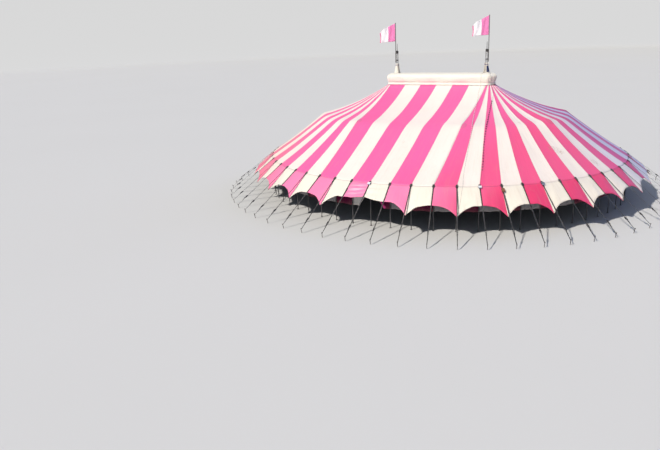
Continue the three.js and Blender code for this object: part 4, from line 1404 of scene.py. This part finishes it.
def string_path(roof_stops, valance_stops):
    """A light string's line: a smooth curve through seam numbers and stations, just above the roof and
    raised a little between its hooks, then through seam numbers and drops, as far off the valance. Its
    stations come with it, one more than the drop on the valance."""
    line = smooth_line(roof_stops, 181)
    path = roof(line[:, 0], line[:, 1])
    path[:, 2] += STRING_LIFT + 0.012 * np.abs(np.sin(np.linspace(0, 9 * math.pi, len(line))))
    if not valance_stops:
        return path, line[:, 1]
    seam, drop = smooth_line(valance_stops, 31).T
    out_and_up = unit(beside(seam, 1.0, 1.0) - beside(seam, 0.0, 0.0))
    below = valance(seam, drop) + out_and_up * STRING_LIFT
    return np.concatenate([path, below]), np.concatenate([line[:, 1], 1 + drop])


def string_start(seam, first):
    """The way of a light string from the right mast's sleeve over the crown's roll to the roof: a smooth
    curve through shares of the way out, each with its height."""
    mast = np.array([KING_POLE_X, -0.16])
    edge = crown_ring(np.array([seam]), np.array([1.0]), np.array([0.17]))[0]
    shares = (0, 0.45, 0.82, 1, 1)
    heights = (CAP_TOP + 0.3, CAP_TOP + 0.04, CAP_TOP - 0.03, 8.22, 8.0)
    stops = [(*(mast + (edge - mast) * share), height) for share, height in zip(shares, heights)]
    return smooth_line([*stops, tuple(first)], 31)[:-1]


def bulbs_along(path, station, lit_stations, step, size, paint):
    """Bulbs at even steps along a path, between two of its stations."""
    profile = [
        (0.0, 0.035), (0.028, 0.03), (0.042, 0.005), (0.034, -0.022), (0.016, -0.036), (0.0, -0.045),
    ]
    points, faces = turned(profile, 8)
    length = length_down(path[:, None])[:, 0]
    first, last = lit_stations
    places = np.arange(length[station > first][0], length[station < last][-1], step)
    origins = np.stack([np.interp(places, length, path[:, k]) for k in range(3)], -1)
    bulb = Pile().add(points * size, faces, paint)
    return bulb.copies(origins, np.tile(np.eye(3), (len(places), 1, 1)))


def make_light_string(name, roof_stops, valance_stops, lit_stations, step, size):
    """A string of small bulbs, from the right mast's foot over the roll and down the roof. Its upper part
    carries no bulbs."""
    path, station = string_path(roof_stops, valance_stops)
    start = string_start(roof_stops[0][0], path[0])
    pile = Pile().add(*tube(np.concatenate([start, path]), STRING_RADIUS, 6))
    pile.merge(bulbs_along(path, station, lit_stations, step, size, paint=1))
    make(f"light_string_{name}", pile, ["webbing", f"bulb_{name}"])


def finish_frame_nodes():
    """Gives the model's own steel pieces their material."""
    names = ["crown_frame", *(f"quarter_pole_{number}" for number in range(1, len(QUARTER_SEAMS) + 1))]
    for name in names:
        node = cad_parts[name]
        node.data.materials.clear()
        node.data.materials.append(finishes["steel"])


# Floor, light and camera

FLOOR_GREYS = ((0.63, 0.63, 0.625), (0.61, 0.61, 0.605))
PAPER_LOOKS = (0.665, 0.665, 0.665)
PAPER_SHEDS = (0.3, 0.32, 0.36)
SKY_BLUE = (0.7, 0.8, 1.0)
SKY_STRENGTH = 0.33
CAMERA_PLACE = (17.632, -46.195, 11.957)
CAMERA_AZIMUTH = 30.965
CAMERA_PITCH = 17.011
CAMERA_ROLL = -2.337
CAMERA_LENS = 34.885


def make_stage():
    """A plain pale floor that curves up into a backdrop far behind: a level disc, then a quarter circle,
    turned round the tent. The rising part is lit paper, which looks as pale as the floor, so that the
    backdrop is even from every side, but sheds less light than that."""
    level, bend, sides = 240.0, 100.0, 96
    arc = np.linspace(0, math.pi / 2, 21)
    radius = np.concatenate([[0.01, level / 2], level + bend * np.sin(arc)])
    height = np.concatenate([[0, 0], bend * (1 - np.cos(arc))])
    angle = np.arange(sides) * 2 * math.pi / sides
    points = join(radius[:, None] * np.cos(angle), radius[:, None] * np.sin(angle), height[:, None])
    mesh = bpy.data.meshes.new("floor")
    mesh.from_pydata(points.reshape(-1, 3).tolist(), [], quads(len(radius), sides, around=True).tolist())
    mesh.shade_smooth()
    mesh.materials.append(floor_finish())
    floor = bpy.data.objects.new("floor", mesh)
    bpy.context.scene.collection.objects.link(floor)


def floor_finish():
    """Pale matt paper, faintly mottled, which takes over its light from a glow where it rises off the
    floor."""
    r = Recipe("floor_finish")
    place = r.object_place()
    tone = r.tint(r.noise(place, 0.05, 2), *FLOOR_GREYS)
    rise = r.step(r.axis(place, 2), 0.0, 1.5)
    seen = r.node("ShaderNodeLightPath", out=0)
    glow = r.tint(rise, BLACK, r.tint(seen, PAPER_SHEDS, PAPER_LOOKS))
    paper = r.tint(rise, tone, BLACK)
    return r.finish(paper, 0.9, Emission_Color=glow, Emission_Strength=1.0)


def sun(name, azimuth, elevation, energy, colour, softness):
    """A distant lamp that shines from an azimuth, counted from +X, and an elevation, in degrees."""
    light = bpy.data.lights.new(name, "SUN")
    light.energy = energy
    light.color = colour
    light.angle = math.radians(softness)
    lamp = bpy.data.objects.new(name, light)
    around = Matrix.Rotation(math.radians(azimuth - 90), 4, "Z")
    lamp.matrix_world = around @ Matrix.Rotation(math.radians(elevation - 90), 4, "X")
    bpy.context.scene.collection.objects.link(lamp)


def make_lights():
    """A warm key from the front left, a cool fill from behind right, and a pale even sky."""
    sun("key", azimuth=-111, elevation=44, energy=3.8, colour=(1.0, 0.945, 0.86), softness=3)
    sun("fill", azimuth=50, elevation=24, energy=0.55, colour=(0.3, 0.42, 1.0), softness=30)
    world = bpy.data.worlds.new("sky")
    world.use_nodes = True
    background = world.node_tree.nodes["Background"]
    background.inputs["Color"].default_value = (*SKY_BLUE, 1)
    background.inputs["Strength"].default_value = SKY_STRENGTH
    bpy.context.scene.world = world
    bpy.context.scene.view_settings.view_transform = "Standard"


def make_camera():
    """The photograph's view: from above the crown, down at the front and the right end, rolled a
    little."""
    camera = bpy.data.cameras.new("camera")
    camera.sensor_width = 36
    camera.lens = CAMERA_LENS
    camera.clip_end = 3000
    seen = bpy.data.objects.new("camera", camera)
    around = Matrix.Rotation(math.radians(CAMERA_AZIMUTH), 4, "Z")
    down = Matrix.Rotation(math.pi / 2 - math.radians(CAMERA_PITCH), 4, "X")
    roll = Matrix.Rotation(math.radians(CAMERA_ROLL), 4, "Z")
    seen.matrix_world = Matrix.Translation(CAMERA_PLACE) @ (around @ down) @ roll
    bpy.context.scene.collection.objects.link(seen)
    bpy.context.scene.camera = seen


make_camera()
make_lights()
make_stage()
make_roof()
make_valance()
make_walls()
make_guys()
make_crown()
make_sleeves()
make_masts()
make_flags()
make_lamps()
make_box()
make_light_string("dark", DARK_STRING, (), (0.18, 0.9), step=0.26, size=1.0)
make_light_string("pale", PALE_STRING, PALE_STRING_ON_VALANCE, (0.24, 0.68), step=0.2, size=0.75)
finish_frame_nodes()
